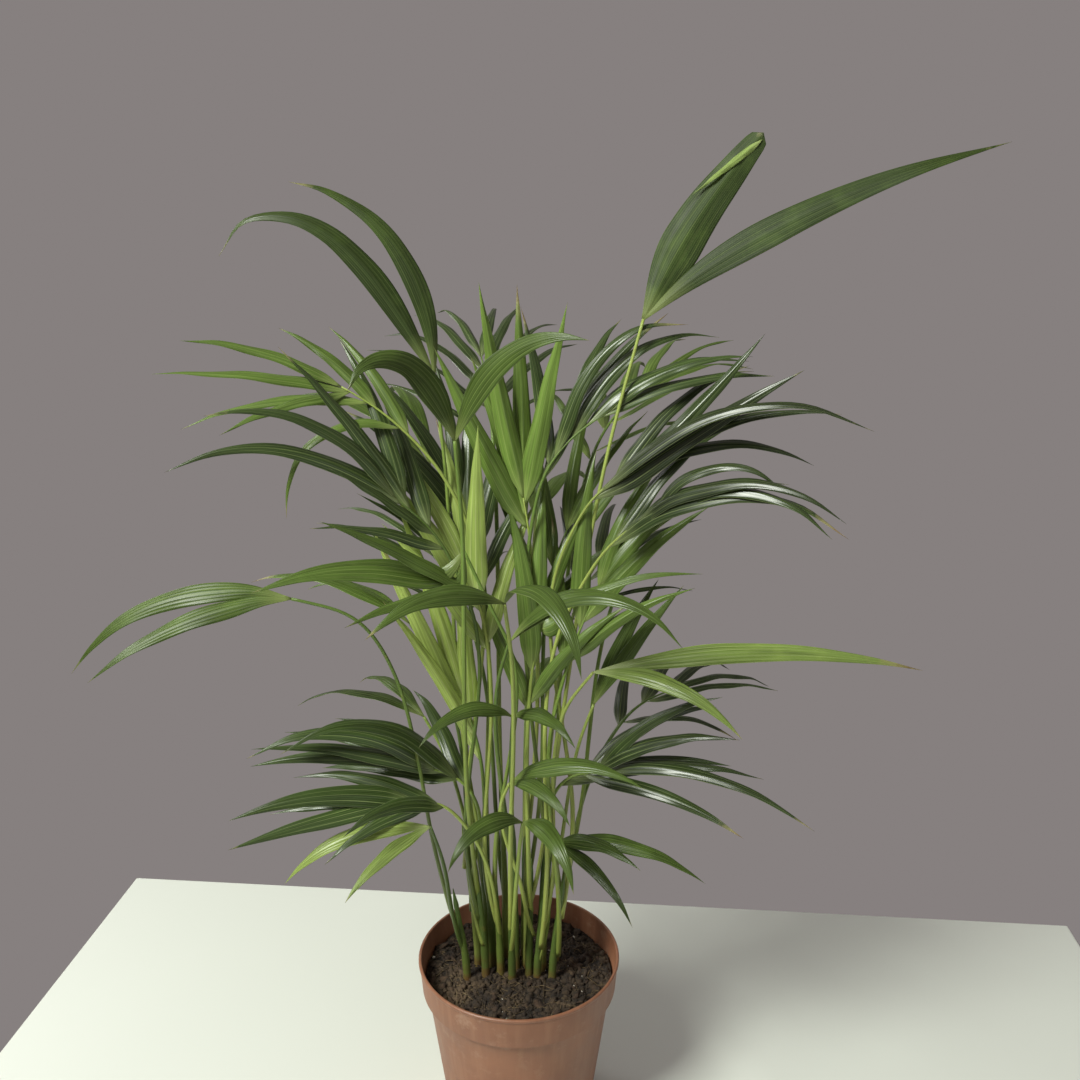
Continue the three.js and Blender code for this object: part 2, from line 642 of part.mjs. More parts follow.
    lobes: [
      { heading: 96, rise: 34, length: 118, droop: 84, width: 16, front: 0 },
      { heading: 66, rise: 38, length: 98, droop: 80, width: 14, front: 0 },
    ],
  },
  {
    name: "frond_inner_back", leaf: "dark", cane: 16, up: 0.6, foot: [30, 44, 204], toward: [60, 62],
    rachis: { heading: 60, rise: 52, length: 50, droop: 24, front: 0 },
    leaflets: { pairs: 3, length: 84, width: 10, spread: 44, tip: 16, droop: 48, lift: 8 },
  },
  {
    name: "frond_inner_left", leaf: "dark", cane: 14, up: 0.6, foot: [-28, 40, 210], toward: [128, 60],
    rachis: { heading: 130, rise: 52, length: 50, droop: 24, front: 0 },
    leaflets: { pairs: 3, length: 86, width: 10, spread: 44, tip: 16, droop: 48, lift: 8 },
  },
  {
    name: "frond_left_back", leaf: "mid", cane: 2, up: 0.6, foot: [-62, 22, 216], toward: [165, 52],
    lobes: [
      { heading: 168, rise: 38, length: 104, droop: 62, width: 14, front: 0.2 },
      { heading: 148, rise: 34, length: 84, droop: 66, width: 12, front: 0.1 },
    ],
  },
  {
    name: "frond_centre_left", leaf: "bright", cane: 5, up: 0.75, foot: [-15, -8, 206], toward: [150, 84],
    rachis: { heading: 150, rise: 78, length: 50, droop: 8, front: 0.8 },
    leaflets: { pairs: 3, length: 96, width: 12, spread: 22, tip: 8, droop: 22, lift: 0 },
  },
  {
    name: "frond_centre", leaf: "mid", cane: 9, up: 0.85, foot: [6, -10, 172], toward: [60, 84],
    rachis: { heading: 60, rise: 80, length: 50, droop: 8, front: 0.8 },
    leaflets: { pairs: 3, length: 90, width: 12, spread: 24, tip: 8, droop: 24, lift: 0 },
  },
  {
    name: "frond_centre_right", leaf: "mid", cane: 12, up: 0.5, foot: [26, -8, 196], toward: [20, 78],
    rachis: { heading: 16, rise: 74, length: 52, droop: 12, front: 0.7 },
    leaflets: { pairs: 3, length: 92, width: 11, spread: 26, tip: 8, droop: 30, lift: 4 },
  },
  {
    name: "frond_centre_back", leaf: "dark", cane: 4, up: 0.75, foot: [-18, 16, 236], toward: [120, 80],
    rachis: { heading: 140, rise: 76, length: 56, droop: 12, front: 0.6 },
    leaflets: { pairs: 4, length: 92, width: 11, spread: 32, tip: 10, droop: 32, lift: 4 },
  },
  {
    name: "frond_inner_crown", leaf: "mid", cane: 8, up: 0.6, foot: [10, 16, 226], toward: [50, 80],
    rachis: { heading: 40, rise: 76, length: 50, droop: 10, front: 0.5 },
    leaflets: { pairs: 3, length: 90, width: 11, spread: 32, tip: 10, droop: 26, lift: 6 },
  },
  {
    name: "frond_inner_front", leaf: "mid", cane: 7, up: 0.6, foot: [-2, -26, 180], toward: [280, 66],
    lobes: [
      { heading: 310, rise: 34, length: 56, droop: 76, width: 11, front: 0.5 },
      { heading: 220, rise: 38, length: 68, droop: 84, width: 11, front: 0.5 },
    ],
  },
];

function footOf(frond) {
  return vec(...frond.foot).multiplyScalar(growth).add(vec(0, 0, soilTop));
}

// The stalk leaves its cane's side, rises along it and bends over to the foot of the blades.
function petiolePoints(frond, path, aside, lift, bow) {
  const foot = footOf(frond);
  const top = path.length - 2;
  const share = Math.min(0.97, frond.up + lift);
  const run = 1 + share * (top - 1);
  const i = Math.min(top - 1, Math.floor(run));
  const on = path[i].clone().lerp(path[i + 1], run - i);
  const along = path[i + 1].clone().sub(path[i]).normalize();
  const heading = Math.atan2(foot.y - on.y, foot.x - on.x) / rad + aside;
  const out = direction(heading, 0);
  out.addScaledVector(along, -out.dot(along)).normalize();
  const thick = caneRadiusAt(run / (path.length - 1));
  const start = on.clone().addScaledVector(out, thick + seatGap + petioleRadius);
  const leave = along.clone().multiplyScalar(1).addScaledVector(out, 0.14).normalize();
  const reach = foot.distanceTo(start);
  const arrive = direction(...frond.toward);
  const curve = new THREE.CubicBezierCurve3(
    start,
    start.clone().addScaledVector(leave, reach * 0.38).add(bow),
    foot.clone().addScaledVector(arrive, -reach * 0.34).add(bow),
    foot,
  );
  return curve.getPoints(5);
}

const bows = [vec(0, 0, 0)];
for (let size = 3; size <= 24; size += 3) {
  for (let k = 0; k < 8; k++) bows.push(direction(k * 45 + size * 5, 0).multiplyScalar(size));
}

const shifts = [vec(0, 0, 0)];
for (let size = 6; size <= 18; size += 6) {
  for (let k = 0; k < 6; k++) shifts.push(direction(k * 60, k % 2 ? 30 : -30).multiplyScalar(size));
}

function settledStalk(given, path) {
  const end = given.rachis ? rachisEndRadius : petioleTipRadius;
  for (const shift of shifts) {
    const foot = given.foot.map((c, k) => c + shift.getComponent(k));
    const frond = { ...given, foot };
    const rachis = frond.rachis ? sagging(footOf(frond), frond.rachis, 3).slice(1) : [];
    for (const lift of [0, -0.06, 0.06, -0.12]) {
      for (const bow of bows) {
        for (const aside of [0, 30, -30, 60, -60]) {
          const petiole = petiolePoints(frond, path, aside, lift, bow);
          const points = [...petiole, ...rachis.map((p) => p.at)];
          if (clear(stalk(points, petioleRadius + airGap, end + airGap, 5))) {
            return { solid: stalk(points, petioleRadius, end, 5), frond };
          }
        }
      }
    }
  }
  throw new Error(given.name + " found no clear way up");
}

// A point the given share of the way along the rachis, with its direction and upper face.
function onRachis(path, share) {
  const run = Math.min(0.985, share) * (path.length - 1);
  const k = Math.min(path.length - 2, Math.floor(run));
  return { ...path[k], at: path[k].at.clone().lerp(path[k + 1].at, run - k) };
}

// Leaflets are either listed one by one or set in pairs along the rachis: the pairs are longest below the middle and
// the last one runs on past its end.
function leafletShapes({ rachis, leaflets }, path) {
  if (Array.isArray(leaflets)) {
    return leaflets.map((leaflet) => ({ ...leaflet, start: onRachis(path, 0.05 + 0.93 * leaflet.on).at }));
  }
  const shapes = [];
  const { pairs, length, width, spread, tip, droop, lift } = leaflets;
  for (let i = 0; i < pairs; i++) {
    const t = pairs > 1 ? i / (pairs - 1) : 1;
    for (const side of [-1, 1]) {
      const { at, along, face } = onRachis(path, 0.06 + 0.92 * t + (side > 0 && i + 1 < pairs ? 0.07 : 0));
      const across = along.clone().cross(face).multiplyScalar(side);
      const open = (spread + (tip - spread) * t) * rad;
      const way = along
        .clone()
        .multiplyScalar(Math.cos(open))
        .addScaledVector(across, Math.sin(open) * Math.cos(lift * rad))
        .addScaledVector(face, Math.sin(open) * Math.sin(lift * rad));
      const size = 0.78 + 0.3 * Math.sin(Math.PI * (0.2 + 0.6 * t)) - (side > 0 ? 0.05 : 0);
      shapes.push({
        start: at,
        heading: Math.atan2(way.y, way.x) / rad,
        rise: Math.asin(Math.max(-1, Math.min(1, way.z))) / rad,
        length: length * size,
        width: width * (0.85 + 0.25 * Math.sin(Math.PI * t)),
        droop: droop * (0.8 + 0.4 * ((i * 7 + (side + 1) * 2) % 5) / 4),
        swing: side * 6,
        front: rachis.front,
      });
    }
  }
  return shapes;
}

function frondSolid(given, path) {
  const { solid, frond } = settledStalk(given, path);
  let made = solid;
  const grown = [];
  let shapes;
  if (frond.lobes) {
    const foot = footOf(frond);
    shapes = frond.lobes.map((lobe) => ({
      ...lobe,
      start: foot.clone().addScaledVector(direction(lobe.heading, lobe.rise), -1.2),
    }));
  } else {
    shapes = leafletShapes(frond, sagging(footOf(frond), frond.rachis, 3));
  }
  const steps = frond.lobes ? 7 : 5;
  for (const shape of shapes) {
    const leaf = settledBlade(shape, steps, grown);
    if (leaf) made = made.add(leaf);
    else console.log("left out a leaflet of " + frond.name);
  }
  return wholeOf(made);
}

// The one outer body of a joined solid, without the slivers of air or the needle faces left where leaflets cross.
function wholeOf(solid) {
  const whole = solid.decompose().reduce((a, b) => (b.volume() > a.volume() ? b : a));
  return whole.simplify(seamTolerance);
}

// ---- putting it together ----

const group = new THREE.Group();
group.name = "potted_palm";
const leafColours = { dark: 0x3a5f26, mid: 0x4e7f2f, bright: 0x86b23c };

const paths = canes.map(canePath);
let soil = soilSolid();
canes.forEach(({ at: [x, y] }) => {
  const depth = plantingDepth + seatGap;
  const tall = depth + soilRelief + 5;
  const socket = new THREE.CylinderGeometry(caneRadius + socketClearance, caneRadius + socketClearance, tall, 8);
  socket.rotateX(Math.PI / 2);
  socket.translate(x, y, soilTop - depth + tall / 2);
  soil = soil.subtract(solidOfGeometry(socket));
});
const pot = potSolid();
place(pot);
place(soil);
group.add(meshOf("pot", pot, 0xb5694a, 0.55));
group.add(meshOf("soil", soil, 0x2a1f18, 0.95));

paths.forEach((path, i) => {
  const cane = stalk(path, caneRadius, caneTopRadius, 8, true);
  if (!clear(cane)) throw new Error("cane " + (i + 1) + " meets a neighbour");
  place(cane);
  group.add(meshOf("cane_" + String(i + 1).padStart(2, "0"), cane, 0x8fae45, 0.5));
});

for (const frond of fronds) {
  const solid = frondSolid(frond, paths[frond.cane - 1]);
  place(solid);
  group.add(meshOf(frond.name, solid, leafColours[frond.leaf], 0.45));
}

export default group;
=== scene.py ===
import json
import math
import random

import bpy
import numpy as np
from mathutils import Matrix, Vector, noise


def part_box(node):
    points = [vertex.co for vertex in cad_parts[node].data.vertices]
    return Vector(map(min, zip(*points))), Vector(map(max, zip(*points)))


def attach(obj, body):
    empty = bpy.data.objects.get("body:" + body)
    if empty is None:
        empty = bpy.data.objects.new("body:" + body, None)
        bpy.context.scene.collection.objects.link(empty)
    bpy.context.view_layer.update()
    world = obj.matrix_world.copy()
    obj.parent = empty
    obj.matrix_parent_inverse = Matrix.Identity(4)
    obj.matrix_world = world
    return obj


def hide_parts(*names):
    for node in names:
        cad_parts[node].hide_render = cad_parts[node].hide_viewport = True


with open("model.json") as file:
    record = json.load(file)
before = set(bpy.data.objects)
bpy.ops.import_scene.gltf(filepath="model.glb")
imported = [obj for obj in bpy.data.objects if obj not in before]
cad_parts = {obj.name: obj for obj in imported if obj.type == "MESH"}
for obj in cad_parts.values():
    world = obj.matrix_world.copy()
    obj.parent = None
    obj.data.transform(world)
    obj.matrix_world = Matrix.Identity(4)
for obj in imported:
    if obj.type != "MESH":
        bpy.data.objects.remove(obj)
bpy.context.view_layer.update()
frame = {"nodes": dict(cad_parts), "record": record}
mm = 0.001
print("frame loaded:", len(frame["nodes"]), "nodes")


# sRGB hex to linear
def linear(hexColour):
    out = []
    for k in (0, 2, 4):
        c = int(hexColour[k:k + 2], 16) / 255
        out.append(c / 12.92 if c <= 0.04045 else ((c + 0.055) / 1.055) ** 2.4)
    return (*out, 1.0)


def addNode(tree, kind, links=None, **settings):
    node = tree.nodes.new(kind)
    for key, value in settings.items():
        setattr(node, key, value)
    for socket, value in (links or {}).items():
        target = node.inputs[socket]
        if isinstance(value, bpy.types.NodeSocket):
            tree.links.new(value, target)
        else:
            target.default_value = value
    return node


def maths(tree, operation, a, b=0.0):
    return addNode(tree, "ShaderNodeMath", {0: a, 1: b}, operation=operation).outputs[0]


def remap(tree, value, low, high, toLow=0.0, toHigh=1.0):
    node = addNode(tree, "ShaderNodeMapRange", {"Value": value, "From Min": low, "From Max": high,
                                                "To Min": toLow, "To Max": toHigh})
    return node.outputs["Result"]


def mixColour(tree, factor, a, b, blend="MIX"):
    node = addNode(tree, "ShaderNodeMix", data_type="RGBA", blend_type=blend)
    for socket, value in ((0, factor), (6, a), (7, b)):
        if isinstance(value, bpy.types.NodeSocket):
            tree.links.new(value, node.inputs[socket])
        else:
            node.inputs[socket].default_value = value
    return node.outputs[2]


def noiseAt(tree, vector, scale, detail=3.0, rough=0.55):
    node = addNode(tree, "ShaderNodeTexNoise", {"Vector": vector, "Scale": scale, "Detail": detail,
                                                "Roughness": rough})
    return node.outputs["Fac"]


def greyOf(tree, value):
    return addNode(tree, "ShaderNodeCombineColor", {0: value, 1: value, 2: value}).outputs[0]


def newMaterial(name):
    mat = bpy.data.materials.new(name)
    mat.use_nodes = True
    tree = mat.node_tree
    for node in list(tree.nodes):
        tree.nodes.remove(node)
    return mat, tree


def onlySelect(obj):
    bpy.ops.object.select_all(action="DESELECT")
    obj.select_set(True)
    bpy.context.view_layer.objects.active = obj


def applyAll(obj):
    onlySelect(obj)
    for mod in list(obj.modifiers):
        bpy.ops.object.modifier_apply(modifier=mod.name)


def joinInto(target, others):
    bpy.ops.object.select_all(action="DESELECT")
    for other in others:
        other.select_set(True)
    target.select_set(True)
    bpy.context.view_layer.objects.active = target
    bpy.ops.object.join()
    return target


def newObject(name, verts, faces):
    mesh = bpy.data.meshes.new(name)
    mesh.from_pydata([tuple(v) for v in verts], [], faces)
    mesh.update()
    obj = bpy.data.objects.new(name, mesh)
    bpy.context.scene.collection.objects.link(obj)
    return obj


# pattern scales are per cm of blade; a vein turn of 26 rad sets the veins about 1.2 mm apart
leafSkin = {"veinTurn": 26.0, "streaks": 9.0, "clouds": 2.6, "lengthwise": 0.45, "blotches": 55.0,
            "relief": 0.2 * mm, "strength": 0.22, "dried": "a39a6c", "dead": "7d6648", "bloom": "7f9060"}


# living palm leaf: waxy cuticle over green tissue, pale ribs between pleats with some painted sheen on them,
# fine veins, drying tip
def leafMaterial(name, deep, fresh, glow, ribShow, glowing, gloss, under):
    mat, tree = newMaterial(name)
    coords = addNode(tree, "ShaderNodeTexCoord")
    uv = addNode(tree, "ShaderNodeSeparateXYZ", {0: coords.outputs["UV"]})
    tint = addNode(tree, "ShaderNodeAttribute", attribute_name="leafTint")
    parts = addNode(tree, "ShaderNodeSeparateColor", {0: tint.outputs["Color"]})
    tone, dry, wide, ribs = parts.outputs[0], parts.outputs[1], parts.outputs[2], tint.outputs["Alpha"]
    offset = maths(tree, "SUBTRACT", maths(tree, "MULTIPLY", uv.outputs[0], 2.0), 1.0)
    across = maths(tree, "ABSOLUTE", offset)
    # ribs sit in the folds, with fine veins between them; the wide channel is the blade's width in cm
    step = maths(tree, "FRACT", maths(tree, "ADD", maths(tree, "MULTIPLY", across, ribs), 0.5))
    ribGap = maths(tree, "ABSOLUTE", maths(tree, "SUBTRACT", step, 0.5))
    rib = remap(tree, ribGap, 0.02, 0.095, 1.0, 0.0)
    acrossCm = maths(tree, "MULTIPLY", uv.outputs[0], wide)
    veinRun = maths(tree, "MULTIPLY", acrossCm, leafSkin["veinTurn"])
    vein = maths(tree, "ABSOLUTE", maths(tree, "SINE", veinRun))
    alongBlade = maths(tree, "MULTIPLY", uv.outputs[1], leafSkin["lengthwise"])
    bladeSeed = maths(tree, "MULTIPLY", tone, 9.0)
    place = addNode(tree, "ShaderNodeCombineXYZ", {0: acrossCm, 1: alongBlade, 2: bladeSeed})
    streak = noiseAt(tree, place.outputs[0], leafSkin["streaks"], 1.5, 0.6)
    broad = noiseAt(tree, place.outputs[0], leafSkin["clouds"], 2.0, 0.5)
    blotch = noiseAt(tree, coords.outputs["Object"], leafSkin["blotches"], 3.0)
    body = mixColour(tree, tone, linear(deep), linear(fresh))
    streaked, clouded = remap(tree, streak, 0.3, 0.7, 0.74, 1.24), remap(tree, broad, 0.3, 0.7, 0.78, 1.2)
    shade = maths(tree, "MULTIPLY", streaked, clouded)
    body = mixColour(tree, 1.0, body, greyOf(tree, shade), "MULTIPLY")
    body = mixColour(tree, remap(tree, vein, 0.0, 0.4, 0.2, 0.0), body, linear(glow))
    body = mixColour(tree, remap(tree, blotch, 0.5, 0.75, 0.0, 0.22), body, linear(fresh))
    sheen = addNode(tree, "ShaderNodeAttribute", attribute_name="leafSheen").outputs["Fac"]
    paleRibAndSheen = maths(tree, "MULTIPLY", rib, remap(tree, broad, 0.35, 0.6, 0.3, 1.0))
    # the ribs are paler on glossier fronds and towards a glossy tip: that part of their paleness is painted
    # sheen on the ribs, laid over their own pale colour
    paleRibAndSheen = maths(tree, "MULTIPLY", paleRibAndSheen, remap(tree, sheen, 0.0, 0.8, 0.25, 1.0))
    paleRibAndSheen = maths(tree, "MULTIPLY", paleRibAndSheen, remap(tree, uv.outputs[1], 0.0, 0.85, ribShow, ribShow * 0.4))
    body = mixColour(tree, paleRibAndSheen, body, linear(glow))
    body = mixColour(tree, remap(tree, uv.outputs[1], 0.0, 0.16, 0.45, 0.0), body, linear(glow))
    # the tip dries pale, then brown
    wander = remap(tree, noiseAt(tree, coords.outputs["Object"], 190.0, 2.0), 0.3, 0.7, -0.03, 0.03)
    past = maths(tree, "SUBTRACT", maths(tree, "ADD", uv.outputs[1], wander),
                 maths(tree, "SUBTRACT", 1.0, maths(tree, "MULTIPLY", dry, 0.2)))
    body = mixColour(tree, remap(tree, past, -0.02, 0.05, 0.0, 0.7), body, linear(leafSkin["dried"]))
    body = mixColour(tree, remap(tree, past, 0.05, 0.1, 0.0, 0.8), body, linear(leafSkin["dead"]))
    if under:
        body = mixColour(tree, 0.25, body, linear(leafSkin["bloom"]))
    height = maths(tree, "ADD", maths(tree, "MULTIPLY", vein, 0.08), maths(tree, "MULTIPLY", broad, 0.9))
    # the relief fades as the blade narrows
    strength = remap(tree, uv.outputs[1], 0.15, 0.6, leafSkin["strength"], 0.0)
    bump = addNode(tree, "ShaderNodeBump", {"Height": height, "Distance": leafSkin["relief"],
                                            "Strength": strength})
    matt = remap(tree, sheen, 0.0, 1.0, 0.32, 0.0)
    smoothest, dullest = (0.46, 0.56) if under else (0.26, 0.38)
    rough = maths(tree, "ADD", remap(tree, broad, 0.3, 0.7, smoothest, dullest), matt)
    skin = addNode(tree, "ShaderNodeBsdfPrincipled", {"Base Color": body, "Roughness": rough, "IOR": gloss,
                                                      "Normal": bump.outputs[0]})
    through = mixColour(tree, 0.4, body, linear(glow))
    lit = addNode(tree, "ShaderNodeBsdfTranslucent", {"Color": through, "Normal": bump.outputs[0]})
    both = addNode(tree, "ShaderNodeMixShader", {0: glowing, 1: skin.outputs[0], 2: lit.outputs[0]})
    addNode(tree, "ShaderNodeOutputMaterial", {"Surface": both.outputs[0]})
    return mat


# petiole and cane skin: waxy, pale green to yellow, fine lengthwise fibres
def stemMaterial(name, low, high, fleck, roughness):
    mat, tree = newMaterial(name)
    coords = addNode(tree, "ShaderNodeTexCoord")
    tint = addNode(tree, "ShaderNodeAttribute", attribute_name="leafTint")
    parts = addNode(tree, "ShaderNodeSeparateColor", {0: tint.outputs["Color"]})
    where = addNode(tree, "ShaderNodeAttribute", attribute_name="stemPlace")
    ring = addNode(tree, "ShaderNodeSeparateColor", {0: where.outputs["Color"]})
    fibrePlace = addNode(tree, "ShaderNodeCombineXYZ", {0: maths(tree, "MULTIPLY", ring.outputs[0], 11.0),
                                                        1: maths(tree, "MULTIPLY", ring.outputs[1], 11.0),
                                                        2: maths(tree, "MULTIPLY", ring.outputs[2], 3.0)})
    fibre = noiseAt(tree, fibrePlace.outputs[0], 1.6, 4.0, 0.6)
    blotch = noiseAt(tree, coords.outputs["Object"], 120.0, 3.0)
    body = mixColour(tree, remap(tree, ring.outputs[2], 0.05, 0.75), linear(low), linear(high))
    body = mixColour(tree, remap(tree, parts.outputs[0], 0.4, 1.0, 0.0, 0.8), body, linear(fleck))
    body = mixColour(tree, remap(tree, parts.outputs[0], 0.45, 0.0, 0.0, 0.85), body, linear("46592a"))
    shade = remap(tree, fibre, 0.3, 0.7, 0.78, 1.18)
    body = mixColour(tree, 1.0, body, greyOf(tree, shade), "MULTIPLY")
    body = mixColour(tree, remap(tree, blotch, 0.62, 0.74, 0.0, 0.4), body, linear("8a7a3c"))
    # brown husk where the stem leaves the soil
    husk = maths(tree, "MULTIPLY", parts.outputs[1], remap(tree, blotch, 0.3, 0.6, 0.4, 1.0))
    body = mixColour(tree, husk, body, linear("6a4a2c"))
    bump = addNode(tree, "ShaderNodeBump", {"Height": fibre, "Distance": 0.00018, "Strength": 0.6})
    skin = addNode(tree, "ShaderNodeBsdfPrincipled", {"Base Color": body, "Roughness": roughness, "IOR": 1.45,
                                                      "Normal": bump.outputs[0], "Subsurface Weight": 0.12,
                                                      "Subsurface Radius": (0.002, 0.003, 0.001),
                                                      "Subsurface Scale": 0.5})
    addNode(tree, "ShaderNodeOutputMaterial", {"Surface": skin.outputs[0]})
    return mat


# injection-moulded polypropylene: even satin skin, faint flow marks, dust and dried water near the rim
def potMaterial():
    mat, tree = newMaterial("mouldedPolypropylene")
    coords = addNode(tree, "ShaderNodeTexCoord")
    place = addNode(tree, "ShaderNodeSeparateXYZ", {0: coords.outputs["Object"]})
    grain = noiseAt(tree, coords.outputs["Object"], 2600.0, 2.0)
    cloud = noiseAt(tree, coords.outputs["Object"], 28.0, 4.0)
    flowPlace = addNode(tree, "ShaderNodeMapping", {0: coords.outputs["Object"], 3: (220.0, 220.0, 9.0)})
    flow = noiseAt(tree, flowPlace.outputs[0], 1.0, 3.0)
    body = mixColour(tree, remap(tree, cloud, 0.35, 0.68), linear("7f543d"), linear("91634a"))
    body = mixColour(tree, remap(tree, flow, 0.45, 0.7, 0.0, 0.3), body, linear("a2775c"))
    splash = remap(tree, noiseAt(tree, coords.outputs["Object"], 75.0, 5.0, 0.7), 0.56, 0.7)
    stain = maths(tree, "MULTIPLY", splash, remap(tree, place.outputs[2], 0.05, 0.1, 0.08, 0.3))
    body = mixColour(tree, stain, body, linear("bfa38c"))
    scuff = remap(tree, noiseAt(tree, coords.outputs["Object"], 420.0, 3.0, 0.7), 0.66, 0.74, 0.0, 0.4)
    body = mixColour(tree, scuff, body, linear("7a4c36"))
    rough = remap(tree, cloud, 0.3, 0.7, 0.38, 0.55)
    height = maths(tree, "ADD", maths(tree, "MULTIPLY", grain, 0.5), flow)
    bump = addNode(tree, "ShaderNodeBump", {"Height": height, "Distance": 0.00012, "Strength": 0.4})
    skin = addNode(tree, "ShaderNodeBsdfPrincipled", {"Base Color": body, "Roughness": rough, "IOR": 1.49,
                                                      "Normal": bump.outputs[0], "Subsurface Weight": 0.06,
                                                      "Subsurface Radius": (0.003, 0.001, 0.0006),
                                                      "Subsurface Scale": 0.5})
    addNode(tree, "ShaderNodeOutputMaterial", {"Surface": skin.outputs[0]})
    return mat


# damp peat: near black with brown crumbs
def peatMaterial(name, dark, mid, pale, share):
    mat, tree = newMaterial(name)
    coords = addNode(tree, "ShaderNodeTexCoord")
    coarse = noiseAt(tree, coords.outputs["Object"], 240.0, 6.0, 0.7)
    fine = noiseAt(tree, coords.outputs["Object"], 1400.0, 4.0, 0.7)
    body = mixColour(tree, remap(tree, coarse, 0.35, 0.68), linear(dark), linear(mid))
    body = mixColour(tree, remap(tree, fine, 0.6, 0.75, 0.0, share), body, linear(pale))
    # drier, greyer patches
    dried = noiseAt(tree, coords.outputs["Object"], 42.0, 3.0, 0.6)
    body = mixColour(tree, remap(tree, dried, 0.48, 0.66, 0.0, 0.42), body, linear(pale))
    bump = addNode(tree, "ShaderNodeBump", {"Height": maths(tree, "ADD", coarse, fine), "Distance": 0.0009,
                                            "Strength": 0.9})
    skin = addNode(tree, "ShaderNodeBsdfPrincipled", {"Base Color": body, "Normal": bump.outputs[0],
                                                      "Roughness": remap(tree, fine, 0.3, 0.7, 0.75, 0.98)})
    addNode(tree, "ShaderNodeOutputMaterial", {"Surface": skin.outputs[0]})
    return mat


leafTops = {
    "leaf_dark": leafMaterial("palmLeafDark", "19240e", "465e27", "a6b576", 0.7, 0.14, 1.52, False),
    "leaf_mid": leafMaterial("palmLeafMid", "2a3c12", "74913f", "b4c276", 0.5, 0.24, 1.44, False),
    "leaf_bright": leafMaterial("palmLeafYoung", "54702b", "bdd36e", "e8efb6", 0.8, 0.38, 1.46, False),
}
leafBacks = {
    "leaf_dark": leafMaterial("palmLeafDarkBack", "2f3f20", "506632", "93a266", 0.4, 0.16, 1.45, True),
    "leaf_mid": leafMaterial("palmLeafMidBack", "445724", "788e48", "a8b472", 0.24, 0.24, 1.42, True),
    "leaf_bright": leafMaterial("palmLeafYoungBack", "5a7232", "a6be66", "d8e09c", 0.5, 0.38, 1.42, True),
}
petioleSkin = stemMaterial("palmPetiole", "7f8c42", "6f8a3c", "a9b55e", 0.38)
caneSkin = stemMaterial("palmSheath", "7a8440", "5f7a32", "98a256", 0.42)
potSkin = potMaterial()
peat = peatMaterial("dampPeat", "140f0b", "35291f", "68553f", 0.55)
print("materials ready")


# distinct corners of a solid and the neighbours of each
def welded(node):
    mesh = frame["nodes"][node].data
    world = frame["nodes"][node].matrix_world
    raw = np.array([world @ v.co for v in mesh.vertices])
    corners, index = np.unique(np.round(raw, 6), axis=0, return_inverse=True)
    index = index.reshape(-1)
    near = [set() for _ in corners]
    for poly in mesh.polygons:
        ids = [int(index[v]) for v in poly.vertices]
        for a, b in zip(ids, ids[1:] + ids[:1]):
            if a != b:
                near[a].add(b)
                near[b].add(a)
    return corners, near


def nextRing(corners, near, ring, used):
    found = set().union(*[near[i] for i in ring]) - used
    if len(found) != len(ring):
        return None
    shift = corners[list(found)].mean(axis=0) - corners[ring].mean(axis=0)
    out = []
    for i in ring:
        options = [c for c in found if c in near[i]]
        if not options:
            return None
        out.append(min(options, key=lambda c: np.linalg.norm(corners[c] - corners[i] - shift)))
    return out if len(set(out)) == len(ring) else None


def ringsFrom(corners, near, ring, used):
    rings = [ring]
    used = set(used) | set(ring)
    while True:
        ring = nextRing(corners, near, rings[-1], used)
        if ring is None:
            return rings
        rings.append(ring)
        used |= set(ring)


# centres and radii of a stem's rings, from its lowest end up
def stemRings(corners, near, reach, sides):
    low = int(np.argmin(corners[:, 2]))
    ring = [i for i in range(len(corners)) if np.linalg.norm(corners[i] - corners[low]) < reach]
    if len(ring) != sides:
        ring = sorted(range(len(corners)), key=lambda i: np.linalg.norm(corners[i] - corners[low]))[:sides]
    rings = ringsFrom(corners, near, ring, set())
    centres = [corners[r].mean(axis=0) for r in rings]
    radii = [np.linalg.norm(corners[r] - c, axis=1).mean() for r, c in zip(rings, centres)]
    return centres, radii


def unit(v):
    return v / max(1e-9, np.linalg.norm(v))


# each blade of a frond: its tip, then ring by ring towards its foot
def bladeRings(corners, near):
    blades = []
    for i, around in enumerate(near):
        if len(around) != 4:
            continue
        arms = corners[list(around)] - corners[i]
        lengths = np.linalg.norm(arms, axis=1)
        arms = arms / lengths[:, None]
        if lengths.min() < 3 * mm or (arms @ unit(arms.mean(axis=0))).min() < 0.9:
            continue
        spine = []
        for ring in ringsFrom(corners, near, list(around), {i}):
            p = corners[ring]
            gaps = [(np.linalg.norm(p[a] - p[b]), a, b) for a in range(4) for b in range(a)]
            _, a, b = min(gaps)
            left, right = [k for k in range(4) if k not in (a, b)]
            chord = (p[left] + p[right]) / 2
            if np.linalg.norm(p[a] - chord) < np.linalg.norm(p[b] - chord):
                a, b = b, a
            spine.append({"at": (p[a] + p[b]) / 2, "face": unit(p[a] - p[b]),
                          "side": unit(p[left] - p[right]), "half": np.linalg.norm(p[left] - p[right]) / 2})
        blades.append({"tip": corners[i], "spine": spine})
    return blades


# carries the turn from step b to step a on by once more
def turned(a, b):
    ua, ub = Vector(unit(a)), Vector(unit(b))
    turn = ub.rotation_difference(ua)
    return np.array(turn @ Vector(a))


